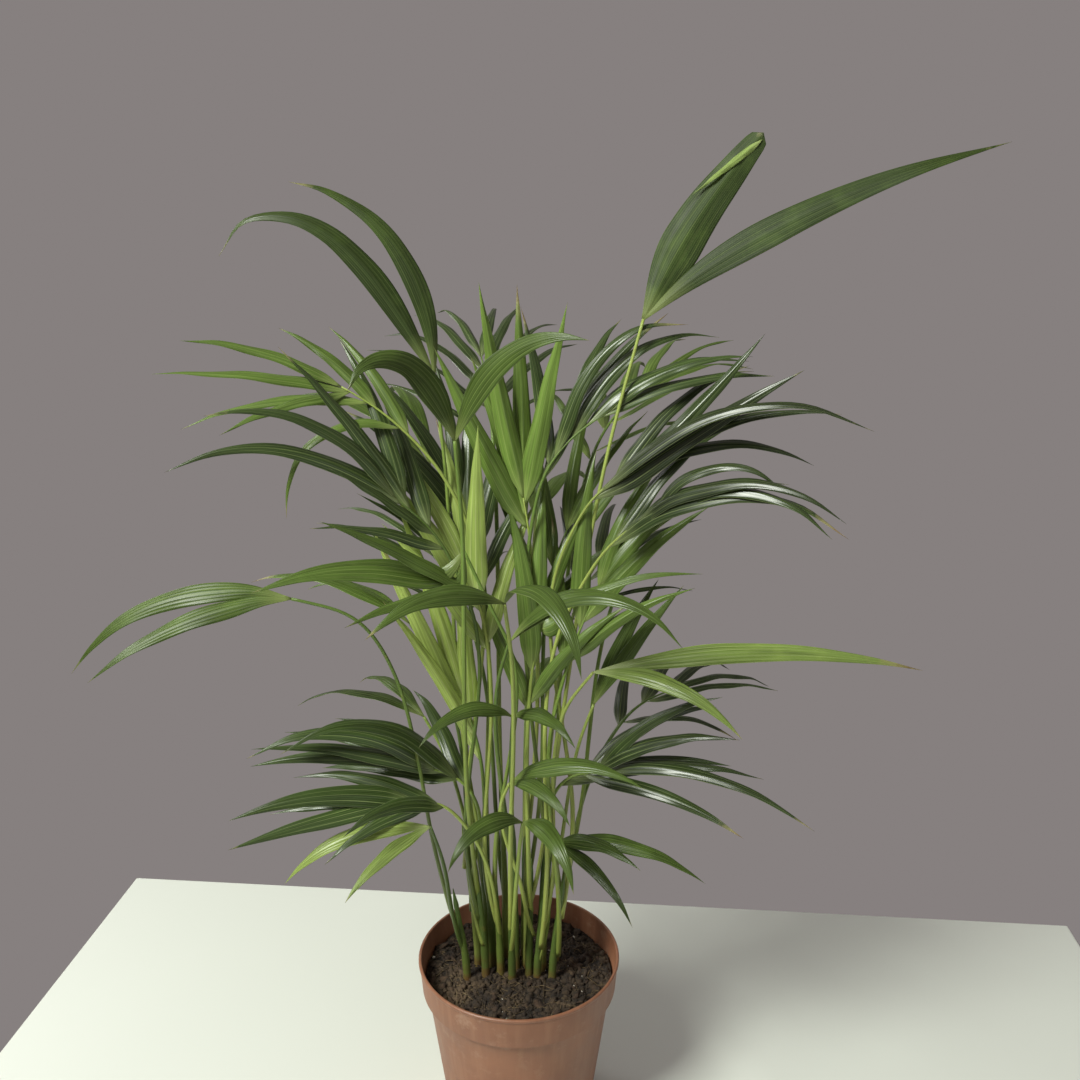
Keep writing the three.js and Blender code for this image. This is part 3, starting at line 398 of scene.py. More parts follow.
# Catmull-Rom through the points, evenly spread along the length
def spline(points, count):
    p = np.array(points)
    ends = [2 * p[0] - p[1], *p, 2 * p[-1] - p[-2]]
    dense = []
    for i in range(1, len(ends) - 2):
        a, b, c, d = ends[i - 1:i + 3]
        for t in np.linspace(0, 1, 12, endpoint=False):
            dense.append(0.5 * (2 * b + (c - a) * t + (2 * a - 5 * b + 4 * c - d) * t ** 2
                                + (3 * b - a - 3 * c + d) * t ** 3))
    dense.append(ends[-2])
    dense = np.array(dense)
    run = np.concatenate([[0], np.cumsum(np.linalg.norm(np.diff(dense, axis=0), axis=1))])
    want = np.linspace(0, run[-1], count)
    return np.stack([np.interp(want, run, dense[:, k]) for k in range(3)], axis=1), run[-1]


# thick and pleat in mm, fold in degrees, grip the share of the length in which a blade widens
lobe = {"columns": 24, "rows": 34, "thick": 0.42, "fold": 13, "pleat": 0.2, "pleats": 6, "steps": 7,
        "grip": 0.42}
leaflet = {"columns": 12, "rows": 26, "thick": 0.36, "fold": 22, "pleat": 0.18, "pleats": 4, "steps": 5,
           "grip": 0.2}
stationCount = 60


# a unit blade: x across from -1 to 1, y along from 0 to 1, z its thickness
def flatBlade(name, size):
    bpy.ops.object.select_all(action="DESELECT")
    bpy.ops.mesh.primitive_grid_add(x_subdivisions=size["columns"], y_subdivisions=size["rows"], size=2)
    obj = bpy.context.object
    obj.name = name
    bpy.ops.object.mode_set(mode="EDIT")
    bpy.ops.mesh.select_all(action="SELECT")
    bpy.ops.transform.translate(value=(0, 1, 0))
    bpy.ops.transform.resize(value=(1, 0.5, 1), center_override=(0, 0, 0))
    bpy.ops.object.mode_set(mode="OBJECT")
    shell = obj.modifiers.new("thickness", "SOLIDIFY")
    shell.thickness = 0.02
    shell.offset = 0
    shell.material_offset = 1
    obj.data.materials.append(None)
    obj.data.materials.append(None)
    applyAll(obj)
    bpy.ops.object.shade_smooth()
    mesh = obj.data
    for v in mesh.vertices:
        v.co.y = min(1, max(0, v.co.y))
    return obj


unitLobe = flatBlade("unitLobe", lobe)
unitLeaflet = flatBlade("unitLeaflet", leaflet)


# half width along a blade: narrow foot, full from grip on, drawn out to a fine tip; a blunt one ends round
def outline(t, grip, blunt):
    rise = 0.09 + 0.91 * np.sin(np.minimum(1, t / grip) * math.pi / 2) ** 1.15
    end = np.sqrt(np.clip(1 - ((t - 0.95) / 0.05).clip(0, 1) ** 2, 0, 1)) if blunt < 1 else 1
    return rise * (1 - (t * blunt) ** 2.4) ** 1.15 * end


# the same for the solid that the blade replaces
def cadOutline(t, blunt):
    return min(1, 0.16 + 2.6 * t) * (1 - (t * blunt) ** 2.2) ** 0.9


def smoothStep(x, low, high):
    t = np.clip((x - low) / (high - low), 0, 1)
    return t * t * (3 - 2 * t)


# centre line of a blade from foot to tip; rings hidden in the joint are carried on towards the foot
def spineOf(blade, steps, foot):
    centres = [blade["tip"]] + [r["at"] for r in blade["spine"]]
    missing = steps + 1 - len(centres)
    if missing == 1 or foot is None:
        for _ in range(missing):
            if len(centres) > 2:
                centres.append(centres[-1] + turned(centres[-1] - centres[-2], centres[-2] - centres[-3]))
            else:
                centres.append(centres[-1] * 2 - centres[-2])
        if foot is not None:
            centres[-1] = foot
    else:
        here = centres[-1]
        gap = np.linalg.norm(foot - here)
        leave = unit(here - centres[-2]) * gap * 0.45
        for k in range(1, missing):
            t = k / missing
            inner = here + leave
            centres.append(here * (1 - t) ** 2 + inner * 2 * t * (1 - t) + foot * t * t)
        centres.append(foot)
    return centres[::-1]


# lays a copy of the unit blade along one blade of the frame
def layBlade(blade, foot, kind, rng, slotName, dryness, tone, sheen=1.0, blunt=1.0, bentOver=False):
    size = lobe if kind is unitLobe else leaflet
    spine, steps = blade["spine"], size["steps"]
    centres = spineOf(blade, steps, foot)
    path, _ = spline(centres, stationCount)
    stations = np.array([1 - (k + 1) / steps for k in range(len(spine))])
    width = 2 * np.median([r["half"] / cadOutline(t, blunt) for r, t in zip(spine, stations)])
    order = np.argsort(stations)
    faces = np.array([r["face"] for r in spine])
    rows = np.linspace(0, 1, stationCount)
    face = np.stack([np.interp(rows, stations[order], faces[order, k]) for k in range(3)], axis=1)
    along = np.gradient(path, axis=0)
    along /= np.linalg.norm(along, axis=1)[:, None]
    face -= (face * along).sum(axis=1)[:, None] * along
    face /= np.linalg.norm(face, axis=1)[:, None]
    side = np.cross(along, face)
    mesh = kind.data.copy()
    count = len(mesh.vertices)
    co = np.empty(count * 3)
    mesh.vertices.foreach_get("co", co)
    co = co.reshape(-1, 3)
    u, t, h = co[:, 0], np.clip(co[:, 1], 0, 1), np.sign(co[:, 2])

    reach = bentLeaf["reach"] if blunt < 1 else 1.0

    def pick(table):
        return np.stack([np.interp(t * reach, rows, table[:, k]) for k in range(3)], axis=1)

    centre, across, up = pick(path), pick(side), pick(face)
    wave = 1 + 0.03 * np.sin(t * rng.uniform(9, 15) + rng.uniform(0, 6)) * np.sign(u)
    half = outline(t, size["grip"], blunt) * width / 2 * wave
    fold = math.radians(size["fold"] * rng.uniform(0.6, 1.25))
    body = np.clip(np.minimum(t / 0.12, (1 - t) / 0.18), 0, 1)
    ridge = np.abs(((np.abs(u) * size["pleats"] / 2 + 0.5) % 1) * 2 - 1) - 0.5
    pleat = ridge * size["pleat"] * (0.4 + 0.6 * sheen) * mm * body
    ripple = 0.5 * mm * np.sin(t * rng.uniform(14, 22) + rng.uniform(0, 6)) * u ** 2 * body
    thick = size["thick"] * mm / 2 * (0.35 + 0.65 * body) * (1 - 0.75 * np.abs(u) ** 3)
    twist = rng.uniform(-0.5, 0.5) * t ** 2
    flatSide = across * np.cos(twist)[:, None] + up * np.sin(twist)[:, None]
    flatUp = up * np.cos(twist)[:, None] - across * np.sin(twist)[:, None]
    lift = -np.abs(u) * half * math.sin(fold) + pleat + ripple + h * thick
    placed = centre + flatSide * (u * half * math.cos(fold))[:, None] + flatUp * lift[:, None]
    mesh.vertices.foreach_set("co", placed.reshape(-1))
    tint = mesh.attributes.new("leafTint", "FLOAT_COLOR", "POINT")
    shade = min(1, max(0, tone + rng.uniform(-0.14, 0.14)))
    colour = np.tile([shade, dryness, width / (10 * mm), size["pleats"] / 2], (count, 1))
    tint.data.foreach_set("color", colour.reshape(-1))
    gleam = mesh.attributes.new("leafSheen", "FLOAT", "POINT")
    tipGleam = (1 - sheen) * smoothStep(t, 0.68, 0.85) if blunt == 1 else 0
    gleam.data.foreach_set("value", np.full(count, sheen) + tipGleam)
    mesh.materials[0] = (leafBacks if bentOver else leafTops)[slotName]
    mesh.materials[1] = (leafTops if bentOver else leafBacks)[slotName]
    mesh.update()
    obj = bpy.data.objects.new("blade", mesh)
    bpy.context.scene.collection.objects.link(obj)
    return obj


cane = {"sides": 14, "rows": 46, "sheathStep": 0.24 * mm, "tipLength": 9 * mm, "buried": 14 * mm,
        "mouths": ((0.34, 0.48), (0.6, 0.74), (0.84, 0.92))}
petiole = {"sides": 10, "rows": 60, "channel": 0.3, "tuck": ((17 * mm, 2.2 * mm), (9 * mm, 1.0 * mm)),
           "at": (0, 0.05, 0.2, 0.75, 1), "radii": (1.75 * mm, 1.5 * mm, 1.35 * mm, 1.15 * mm),
           "featherEnd": 0.5 * mm, "lobeEnd": 0.95 * mm, "passes": 8}


# a closed unit tube: radius 1, from z 0 to 1 in even rows
def unitTube(name, size):
    bpy.ops.object.select_all(action="DESELECT")
    bpy.ops.mesh.primitive_circle_add(vertices=size["sides"], radius=1, fill_type="NGON")
    obj = bpy.context.object
    obj.name = name
    bpy.ops.object.mode_set(mode="EDIT")
    bpy.ops.mesh.select_all(action="SELECT")
    for _ in range(size["rows"] - 1):
        bpy.ops.mesh.extrude_region_move(TRANSFORM_OT_translate={"value": (0, 0, 1 / (size["rows"] - 1))})
    bpy.ops.mesh.select_all(action="SELECT")
    bpy.ops.mesh.normals_make_consistent(inside=False)
    bpy.ops.object.mode_set(mode="OBJECT")
    bpy.ops.object.shade_smooth()
    return obj


unitCane = unitTube("unitCane", cane)
unitPetiole = unitTube("unitPetiole", petiole)


# lays a copy of the unit tube along a path, grooved on its upper side where channel > 0
def layStem(kind, name, path, radii, channel, tone, husk, material):
    rows = len(path)
    mesh = kind.data.copy()
    mesh.name = name
    count = len(mesh.vertices)
    co = np.empty(count * 3)
    mesh.vertices.foreach_get("co", co)
    co = co.reshape(-1, 3)
    row = np.clip(np.round(co[:, 2] * (rows - 1)).astype(int), 0, rows - 1)
    angle = np.arctan2(co[:, 1], co[:, 0])
    along = np.gradient(path, axis=0)
    along /= np.linalg.norm(along, axis=1)[:, None]
    side = np.cross(along[0], [0.2, 1, 0.05])
    sides = []
    for way in along:
        side = unit(side - (side @ way) * way)
        sides.append(side)
    sides = np.array(sides)
    others = np.cross(along, sides)
    top = np.arctan2(others[:, 2], sides[:, 2])
    radius = np.array(radii)[row] * (1 - channel * np.maximum(0, np.cos(angle - top[row])) ** 2)
    ring = np.cos(angle)[:, None] * sides[row] + np.sin(angle)[:, None] * others[row]
    mesh.vertices.foreach_set("co", (path[row] + radius[:, None] * ring).reshape(-1))
    flat = np.ones(count)
    tint = mesh.attributes.new("leafTint", "FLOAT_COLOR", "POINT")
    colour = np.stack([flat * tone, np.array(husk)[row], flat, flat], axis=1)
    tint.data.foreach_set("color", colour.reshape(-1))
    where = mesh.attributes.new("stemPlace", "FLOAT_COLOR", "POINT")
    spots = np.stack([0.5 + 0.5 * np.cos(angle), 0.5 + 0.5 * np.sin(angle), row / (rows - 1), flat], axis=1)
    where.data.foreach_set("color", spots.reshape(-1))
    mesh.materials.clear()
    mesh.materials.append(material)
    mesh.update()
    obj = bpy.data.objects.new(name, mesh)
    bpy.context.scene.collection.objects.link(obj)
    return obj


caneLines = {}
slots = {p["node"]: p["material_slot"] for p in frame["record"]["subparts"]}


def makeCane(node):
    rng = random.Random(node)
    corners, near = welded(node)
    centres, radii = stemRings(corners, near, 6 * mm, 8)
    tip = corners[int(np.argmax(corners[:, 2]))]
    caneLines[node] = np.array(centres)
    path, length = spline(centres + [tip], cane["rows"])
    run = np.linspace(0, 1, cane["rows"])
    tipShare = cane["tipLength"] / length
    known = np.linspace(0, 1 - tipShare, len(radii))
    radius = np.interp(run, known, radii)
    mouths = [rng.uniform(low, high) for low, high in cane["mouths"]]
    soilAt = cane["buried"] / length
    for i, s in enumerate(run):
        radius[i] *= 1 + 0.1 * math.exp(-((s - soilAt) / 0.05) ** 2)
        for mouth in mouths:
            radius[i] += cane["sheathStep"] * (0.5 - smoothStep(s, mouth - 0.01, mouth + 0.02)) * 0.8
        if s > 1 - tipShare:
            radius[i] *= max(0.1, (1 - s) / tipShare) ** 0.7
        radius[i] *= 1 + 0.03 * math.sin(s * 23 + rng.uniform(0, 0.4))
    husk = [max(0, 0.95 * (1 - smoothStep(s, soilAt, soilAt + rng.uniform(0.08, 0.2)))) for s in run]
    return layStem(unitCane, node + "_grown", path, radius, 0.0, rng.uniform(0.0, 0.85), husk, caneSkin)


# the closest place on any cane's centre line
def nearestOnCane(point):
    best = None
    for line in caneLines.values():
        for a, b in zip(line[:-1], line[1:]):
            t = np.clip((point - a) @ (b - a) / ((b - a) @ (b - a)), 0, 1)
            on = a + (b - a) * t
            if best is None or np.linalg.norm(point - on) < np.linalg.norm(point - best):
                best = on
    return best


# the rachis as a smooth bow from the petiole's end through the leaflets' feet
def rachisLine(start, way, feet):
    gaps = np.array([np.linalg.norm(f - start) for f in feet])
    reach = gaps.max()
    kept = np.ones(len(feet), dtype=bool)
    offsets = np.array(feet) - start
    for _ in range(2):
        share = gaps[kept] / reach
        known = np.vstack([np.stack([share, share ** 2], axis=1), [[0.6, 0]]])
        wanted = np.vstack([offsets[kept], 0.6 * reach * way])
        bow = np.linalg.lstsq(known, wanted, rcond=None)[0]
        fitted = np.stack([gaps / reach, (gaps / reach) ** 2], axis=1) @ bow
        miss = np.linalg.norm(fitted - offsets, axis=1)
        kept = miss <= max(2.5 * mm, 1.6 * np.median(miss))
    steps = max(1, int(reach / (11 * mm)))
    return [start + bow[0] * t + bow[1] * t ** 2 for t in np.linspace(0, 1, steps + 1)[1:]]


# how far each frond leans from its slot's deep green (0) to its fresh green (1)
tones = {
    "frond_top_right": 0.0, "frond_top_left": 0.0, "frond_long_left": 0.16, "frond_right": 0.2,
    "frond_front_centre": 0.2, "frond_upper_front": 0.16, "frond_low_left": 0.42, "frond_low_front": 0.14,
    "frond_low_right": 0.06, "frond_inner_front": 0.12, "frond_upright_left": 0.9, "frond_upper_left": 0.5,
    "frond_crown": 0.8, "frond_centre_left": 0.7, "frond_centre": 0.6, "frond_left_spray": 0.3,
    "frond_arching_right": 0.34, "frond_inner_right": 0.3, "frond_front_right": 0.2,
    "frond_centre_right": 0.55,
}
# how glossy a frond is, where it isn't fully so (1)
sheens = {"frond_top_right": 0.1, "frond_top_left": 0.3, "frond_long_left": 0.8}
bentLeaf = {"node": "frond_top_right", "blunt": 0.78, "reach": 0.93, "tail": 44 * mm, "width": 4.2 * mm,
            "slant": 12, "lift": 1.5 * mm, "below": 11.5 * mm, "aside": 1.5 * mm}


# the long tip of the broad lobe, bent back down over its front
def bentTip(blade, rng):
    spine = blade["spine"]
    back = unit(spine[1]["at"] - blade["tip"])
    face, side = spine[0]["face"], spine[0]["side"]
    if side[0] < 0:
        side = -side
    way = unit(back - side * math.sin(math.radians(bentLeaf["slant"])))
    start = blade["tip"] + back * bentLeaf["below"] + side * bentLeaf["aside"]
    stops = [start + way * bentLeaf["tail"] * t + face * bentLeaf["lift"] * (0.35 + t * (1 - t) * 2.6)
             for t in np.linspace(0, 1, leaflet["steps"] + 1)]
    rings = []
    for k in range(leaflet["steps"] - 1, -1, -1):
        t = k / leaflet["steps"]
        rings.append({"at": stops[k], "face": face, "side": side,
                      "half": bentLeaf["width"] / 2 * cadOutline(t, 1)})
    bent = {"tip": stops[-1], "spine": rings}
    return layBlade(bent, None, unitLeaflet, rng, "leaf_bright", 0.0, 0.6, 0.3, bentOver=True)


def makeFrond(node):
    rng = random.Random(node)
    corners, near = welded(node)
    centres, _ = stemRings(corners, near, 3.4 * mm, 5)
    blades = [b for b in bladeRings(corners, near) if b["spine"]]
    feathered = len(blades) > 3
    kind = unitLeaflet if feathered else unitLobe
    steps = leaflet["steps"] if feathered else lobe["steps"]
    # the petiole comes out of the nearest cane's sheath, a little lower down
    start = centres[0]
    inward = unit(nearestOnCane(start) - start)
    stem = unit(centres[1] - centres[0])
    line = [start - stem * down + inward * across for down, across in petiole["tuck"]] + list(centres)
    feet = [spineOf(b, steps, None)[0] for b in blades if len(b["spine"]) >= steps - 2]
    if feathered:
        joint = None
        ahead = [f for f in feet if np.linalg.norm(f - line[-1]) > 7 * mm]
        if ahead:
            line += rachisLine(line[-1], unit(line[-1] - line[-2]), ahead)
    else:
        joint = sum(feet) / len(feet) if feet else centres[-1] + (centres[-1] - centres[-2])
        if np.linalg.norm(joint - line[-1]) > 4 * mm:
            line.append(joint)
    path, _ = spline(line, petiole["rows"])
    for _ in range(petiole["passes"]):
        path[1:-1] = (path[:-2] + 2 * path[1:-1] + path[2:]) / 4
    tone = tones.get(node, rng.uniform(0.1, 0.5))
    sheen = sheens.get(node, 1.0)
    made = []
    for blade in blades:
        foot = joint
        if feathered:
            whole = len(blade["spine"]) >= steps - 2
            low = spineOf(blade, steps, None)[0] if whole else blade["spine"][-1]["at"]
            foot = path[int(np.argmin(np.linalg.norm(path - low, axis=1)))]
        dryness = rng.choice([0.0, 0.1, 0.15, 0.2, 0.4, 0.7])
        blunt = 1.0
        if node == bentLeaf["node"] and blade["spine"][0]["half"] > 5 * mm:
            blunt, dryness = bentLeaf["blunt"], 0.0
            made.append(bentTip(blade, rng))
        made.append(layBlade(blade, foot, kind, rng, slots[node], dryness, tone, sheen, blunt))
    run = np.linspace(0, 1, petiole["rows"])
    end = petiole["featherEnd"] if feathered else petiole["lobeEnd"]
    radius = np.interp(run, petiole["at"], [*petiole["radii"], end])
    husk = [0.0] * petiole["rows"]
    stemObj = layStem(unitPetiole, node + "_grown", path, radius, petiole["channel"], rng.uniform(0, 1), husk,
                      petioleSkin)
    return joinInto(stemObj, made)


canes = sorted(n for n in frame["nodes"] if n.startswith("cane"))
for node in canes:
    obj = makeCane(node)
    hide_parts(node)
    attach(obj, "root")
print("canes grown:", len(canes))

fronds = sorted(n for n in frame["nodes"] if n.startswith("frond"))
for node in fronds:
    obj = makeFrond(node)
    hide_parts(node)
    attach(obj, "root")
print("fronds grown:", len(fronds))
for spare in (unitLobe, unitLeaflet, unitCane, unitPetiole):
    bpy.data.objects.remove(spare)


potLow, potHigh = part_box("pot")
pot = {"rim": (potHigh[0] - potLow[0]) / 2, "tall": potHigh[2] - potLow[2], "band": 20 * mm,
       "bandTaper": 2 * mm, "step": 3 * mm, "base": 44 * mm, "wall": 1.3 * mm, "floor": 1.8 * mm,
       "holes": 8, "holeRadius": 4 * mm, "holeCircle": 28 * mm, "turns": 128}


def makePot():
    tall, rim, wall = pot["tall"], pot["rim"], pot["wall"]
    bandLow = tall - pot["band"]
    bandIn = rim - pot["bandTaper"]
    wallTop = bandIn - pot["step"]
    # radius and height along the wall: up the outside, over the rim and down the inside
    profile = [
        (pot["base"] - 5 * mm, 0.4 * mm),
        (pot["base"] - 4.2 * mm, 0), (pot["base"] - 0.8 * mm, 0), (pot["base"], 0.8 * mm),
        (pot["base"] + 0.6 * mm, 5 * mm), (pot["base"] + 0.3 * mm, 5.6 * mm),
        (wallTop - 0.2 * mm, bandLow - 1.2 * mm), (wallTop + 0.2 * mm, bandLow - 0.2 * mm),
        (bandIn - 1.0 * mm, bandLow), (bandIn - 0.2 * mm, bandLow + 0.4 * mm), (bandIn, bandLow + 1.2 * mm),
        (rim - 0.75 * mm, tall - 2.6 * mm), (rim - 0.25 * mm, tall - 2.2 * mm), (rim, tall - 1.5 * mm),
        (rim - 0.05 * mm, tall - 0.6 * mm), (rim - 0.5 * mm, tall - 0.1 * mm), (rim - 1.1 * mm, tall),
        (rim - 1.6 * mm, tall - 0.25 * mm), (rim - wall - 0.6 * mm, tall - 1.0 * mm),
        (bandIn - wall, bandLow + 2.4 * mm), (bandIn - wall - 0.8 * mm, bandLow + 1.4 * mm),
        (wallTop - wall, bandLow - 0.4 * mm), (wallTop - wall - 0.3 * mm, bandLow - 1.6 * mm),
        (pot["base"] - wall, pot["floor"] + 1.5 * mm), (pot["base"] - wall - 1.5 * mm, pot["floor"]),
    ]
    bpy.ops.object.select_all(action="DESELECT")
    bpy.ops.mesh.primitive_circle_add(vertices=pot["turns"], radius=profile[0][0], fill_type="NGON",
                                      location=(0, 0, profile[0][1]))
    obj = bpy.context.object
    obj.name = "potMoulding"
    bpy.ops.object.transform_apply(location=True, rotation=True, scale=True)
    bpy.ops.object.mode_set(mode="EDIT")
    bpy.ops.mesh.select_all(action="SELECT")
    for (r, z), (nextR, nextZ) in zip(profile[:-1], profile[1:]):
        bpy.ops.mesh.extrude_region_move(TRANSFORM_OT_translate={"value": (0, 0, nextZ - z)})
        bpy.ops.transform.resize(value=(nextR / r, nextR / r, 1), center_override=(0, 0, 0))
    bpy.ops.mesh.select_all(action="SELECT")
    bpy.ops.mesh.remove_doubles(threshold=0.00002)
    bpy.ops.mesh.normals_make_consistent(inside=False)
    bpy.ops.object.mode_set(mode="OBJECT")
    cutters = []
    for k in range(pot["holes"]):
        a = 2 * math.pi * k / pot["holes"]
        bpy.ops.mesh.primitive_cylinder_add(vertices=24, radius=pot["holeRadius"], depth=0.02,
                                            location=(pot["holeCircle"] * math.cos(a),
                                                      pot["holeCircle"] * math.sin(a), 0))
        cutters.append(bpy.context.object)
    cutter = joinInto(cutters[0], cutters[1:])
    drill = obj.modifiers.new("drain", "BOOLEAN")
    drill.operation = "DIFFERENCE"
    drill.object = cutter
    applyAll(obj)
    bpy.data.objects.remove(cutter)
    onlySelect(obj)
    bpy.ops.object.shade_smooth_by_angle(angle=math.radians(38))
    obj.data.materials.clear()
    obj.data.materials.append(potSkin)
    return obj


potMoulding = makePot()
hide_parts("pot")
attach(potMoulding, "root")
print("pot moulded")


soilLow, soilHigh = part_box("soil")
soil = {"cells": 170, "level": soilHigh[2] - 1.0 * mm, "foot": soilLow[2] + 0.2 * mm, "crumbs": 3000,
        "fibres": 460, "grains": 34, "flakes": 160, "relief": (1.7, 1.9, 0.9)}
soil["radius"] = (soilHigh[0] - soilLow[0]) / 2 - 0.2 * mm
rand = random.Random(31)


def soilHeight(x, y):
    big = noise.noise(Vector((x * 45, y * 45, 1.7)))
    mid = noise.noise(Vector((x * 160, y * 160, 4.1)))
    small = noise.noise(Vector((x * 520, y * 520, 8.3)))
    low, lumps, grit = soil["relief"]
    return soil["level"] + (low * big + lumps * mid + grit * small) * mm


def makeSoil():
    bpy.ops.object.select_all(action="DESELECT")
    bpy.ops.mesh.primitive_grid_add(x_subdivisions=soil["cells"], y_subdivisions=soil["cells"], size=2)
    obj = bpy.context.object
    obj.name = "peatPlug"
    bpy.ops.object.mode_set(mode="EDIT")
    bpy.ops.mesh.select_all(action="SELECT")
    bpy.ops.mesh.region_to_loop()
    for drop in (0.6, 1.2):
        bpy.ops.mesh.extrude_region_move(TRANSFORM_OT_translate={"value": (0, 0, -drop)})
    bpy.ops.mesh.edge_face_add()
    bpy.ops.mesh.select_all(action="SELECT")
    bpy.ops.mesh.normals_make_consistent(inside=False)
    bpy.ops.object.mode_set(mode="OBJECT")
    bandIn = pot["rim"] - pot["bandTaper"] - pot["step"]
    # the square grid becomes a round top, and the two loops below it the shoulder and the foot
    for v in obj.data.vertices:
        x, y = v.co.x, v.co.y
        dx = x * math.sqrt(max(0, 1 - y * y / 2))
        dy = y * math.sqrt(max(0, 1 - x * x / 2))
        if v.co.z > -0.1:
            v.co = (dx * soil["radius"], dy * soil["radius"], 0)
            v.co.z = soilHeight(v.co.x, v.co.y)
        elif v.co.z > -1:
            v.co = (dx * (bandIn - 2 * mm), dy * (bandIn - 2 * mm), pot["tall"] - pot["band"] - 3 * mm)
        else:
            v.co = (dx * (pot["base"] - 2.2 * mm), dy * (pot["base"] - 2.2 * mm), soil["foot"])
    obj.data.update()
    onlySelect(obj)
    bpy.ops.object.shade_smooth()
    obj.data.materials.clear()
    obj.data.materials.append(peat)
    return obj


# many small copies of one mesh in one object
def scattered(name, seedMesh, count, place, material):
    base = np.array([v.co for v in seedMesh.vertices])
    polys = [tuple(p.vertices) for p in seedMesh.polygons]
    verts, faces = [], []
    for _ in range(count):
        moved = place(base)
        offset = len(verts)
        verts.extend(moved)
        faces.extend(tuple(i + offset for i in poly) for poly in polys)
    obj = newObject(name, verts, faces)
    obj.data.materials.append(material)
    onlySelect(obj)
    bpy.ops.object.shade_smooth()
    return obj


def spot(edge=1.5 * mm):
    r = (soil["radius"] - edge) * math.sqrt(rand.random())
    a = rand.uniform(0, 2 * math.pi)
    return r * math.cos(a), r * math.sin(a)


def turnAll(base, x, y, z):
    cx, sx, cy, sy, cz, sz = math.cos(x), math.sin(x), math.cos(y), math.sin(y), math.cos(z), math.sin(z)
    rx = np.array([[1, 0, 0], [0, cx, -sx], [0, sx, cx]])
    ry = np.array([[cy, 0, sy], [0, 1, 0], [-sy, 0, cy]])
    rz = np.array([[cz, -sz, 0], [sz, cz, 0], [0, 0, 1]])
    return base @ (rz @ ry @ rx).T


def placeLump(low, high, squash, sink):
    def place(base):
        x, y = spot()
        size = rand.uniform(low, high) * mm * (0.6 + 0.8 * rand.random() ** 3)
        jitter = np.array([[rand.uniform(0.6, 1.4) for _ in range(3)] for _ in base])
        shape = base * jitter * np.array([rand.uniform(0.8, 2.0), rand.uniform(0.5, 1.0), squash]) * size
        shape = turnAll(shape, rand.uniform(-0.7, 0.7), rand.uniform(-0.7, 0.7), rand.uniform(0, 6.28))
        return shape + np.array([x, y, soilHeight(x, y) + size * sink])
    return place


def placeFibre(base):
    x, y = spot(5 * mm)
    length = rand.uniform(3, 13) * mm
    thick = rand.uniform(0.08, 0.22) * mm
    bow = rand.uniform(-0.35, 0.35)
    lift = rand.uniform(0, 0.28)
    turn = rand.uniform(0, 6.28)
    out = []
    for px, py, pz in base:
        s = (pz + 1) / 2
        bx = (s - 0.5) * length
        by = bow * length * (s - 0.5) ** 2 + px * thick
        wx = x + bx * math.cos(turn) - by * math.sin(turn)
        wy = y + bx * math.sin(turn) + by * math.cos(turn)
        reach = math.hypot(wx, wy)
        if reach > soil["radius"]:
            wx, wy = wx * soil["radius"] / reach, wy * soil["radius"] / reach
        out.append((wx, wy, soilHeight(wx, wy) + 0.25 * mm + lift * length * s * s + py * thick))
    return np.array(out)


def takeMesh(obj):
    mesh = obj.data.copy()
    bpy.data.objects.remove(obj)
    return mesh


def makeLumpSeed():
    bpy.ops.object.select_all(action="DESELECT")
    bpy.ops.mesh.primitive_ico_sphere_add(subdivisions=1, radius=1)
    return takeMesh(bpy.context.object)


def makeFibreSeed():
    bpy.ops.object.select_all(action="DESELECT")
    bpy.ops.mesh.primitive_cylinder_add(vertices=5, radius=1, depth=2)
    obj = bpy.context.object
    bpy.ops.object.mode_set(mode="EDIT")
    for height in (0.5, 0, -0.5):
        bpy.ops.mesh.select_all(action="SELECT")
        bpy.ops.mesh.bisect(plane_co=(0, 0, height), plane_no=(0, 0, 1))
    bpy.ops.object.mode_set(mode="OBJECT")
    return takeMesh(obj)


peatPlug = makeSoil()
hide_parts("soil")
lump = makeLumpSeed()
peatCrumb = peatMaterial("peatCrumb", "1c1510", "453627", "80694f", 0.6)
peatFibre = peatMaterial("coirFibre", "4a3b29", "7c6748", "a8946c", 0.7)
barkFlake = peatMaterial("barkFlake", "2c2018", "4c3828", "7a6148", 0.5)
whiteGrain = peatMaterial("perliteGrain", "c9c2b4", "e6e0d4", "f4f0e8", 0.6)
litter = [
    scattered("peatCrumbs", lump, soil["crumbs"], placeLump(0.5, 2.3, 0.72, 0.15), peatCrumb),
    scattered("coirFibres", makeFibreSeed(), soil["fibres"], placeFibre, peatFibre),
    scattered("barkFlakes", lump, soil["flakes"], placeLump(1.4, 3.2, 0.28, 0.2), barkFlake),
    scattered("perliteGrains", lump, soil["grains"], placeLump(0.5, 1.2, 0.8, 0.4), whiteGrain),
]
for piece in [peatPlug] + litter:
    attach(piece, "root")
print("soil filled")


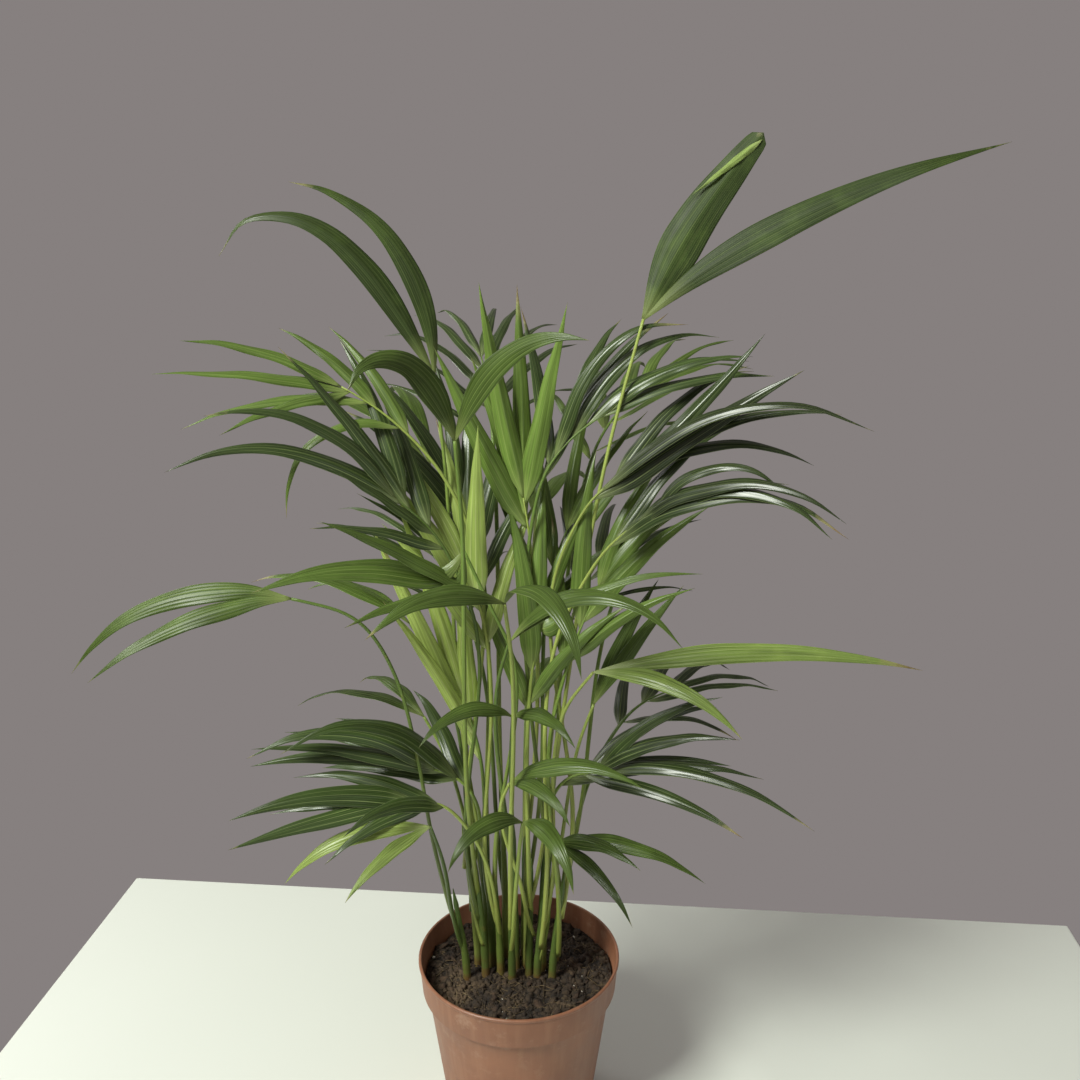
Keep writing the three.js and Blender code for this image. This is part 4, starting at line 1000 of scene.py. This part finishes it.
board = {"left": -0.37, "right": 0.385, "front": -0.75, "back": 0.21, "thick": 0.02, "gap": 0.0002,
         "turn": -5, "edge": 0.0015}
middle = ((board["left"] + board["right"]) / 2, (board["front"] + board["back"]) / 2,
          -board["thick"] / 2 - board["gap"])
bpy.ops.mesh.primitive_cube_add(size=1, location=middle)
floor = bpy.context.object
floor.name = "floor"
floor.scale = (board["right"] - board["left"], board["back"] - board["front"], board["thick"])
floor.rotation_euler = (0, 0, math.radians(board["turn"]))
bpy.ops.object.transform_apply(location=True, rotation=True, scale=True)
bevel = floor.modifiers.new("edge", "BEVEL")
bevel.width = board["edge"]
bevel.segments = 3
applyAll(floor)
floorMat, tree = newMaterial("whiteLaminate")
coords = addNode(tree, "ShaderNodeTexCoord")
wash = mixColour(tree, noiseAt(tree, coords.outputs["Object"], 3.0, 2.0), linear("d8dcd3"), linear("dfe3da"))
paint = addNode(tree, "ShaderNodeBsdfPrincipled", {"Base Color": wash, "Roughness": 0.42})
addNode(tree, "ShaderNodeOutputMaterial", {"Surface": paint.outputs[0]})
floor.data.materials.append(floorMat)

world = bpy.data.worlds.new("studio")
bpy.context.scene.world = world
world.use_nodes = True
for node in list(world.node_tree.nodes):
    world.node_tree.nodes.remove(node)
sky = addNode(world.node_tree, "ShaderNodeBackground", {"Color": linear("989190"), "Strength": 0.76})
addNode(world.node_tree, "ShaderNodeOutputWorld", {"Surface": sky.outputs[0]})


# a square lamp aimed at the middle of the plant
def areaLight(name, place, size, power, colour):
    light = bpy.data.lights.new(name, "AREA")
    light.shape = "SQUARE"
    light.size = size
    light.energy = power
    light.color = linear(colour)[:3]
    obj = bpy.data.objects.new(name, light)
    obj.location = place
    obj.rotation_euler = (Vector((0, 0, 0.3)) - Vector(place)).to_track_quat("-Z", "Y").to_euler()
    bpy.context.scene.collection.objects.link(obj)


areaLight("key", (-0.95, -0.85, 1.5), 0.55, 42, "fcfff6")
areaLight("back", (-1.3, 1.1, 1.2), 0.8, 7, "ffffff")
areaLight("fill", (1.2, -1.2, 0.7), 1.0, 2, "f4f2ff")

view = {"place": (0.0126, -0.560, 0.518), "lookDown": 15.6, "lens": 36.1, "sensor": 36}
camera = bpy.data.cameras.new("camera")
camera.lens = view["lens"]
camera.sensor_width = view["sensor"]
camera.clip_start = 0.01
cameraObj = bpy.data.objects.new("camera", camera)
cameraObj.location = view["place"]
cameraObj.rotation_euler = (math.radians(90 - view["lookDown"]), 0, 0)
bpy.context.scene.collection.objects.link(cameraObj)
bpy.context.scene.camera = cameraObj
bpy.context.scene.view_settings.view_transform = "Standard"
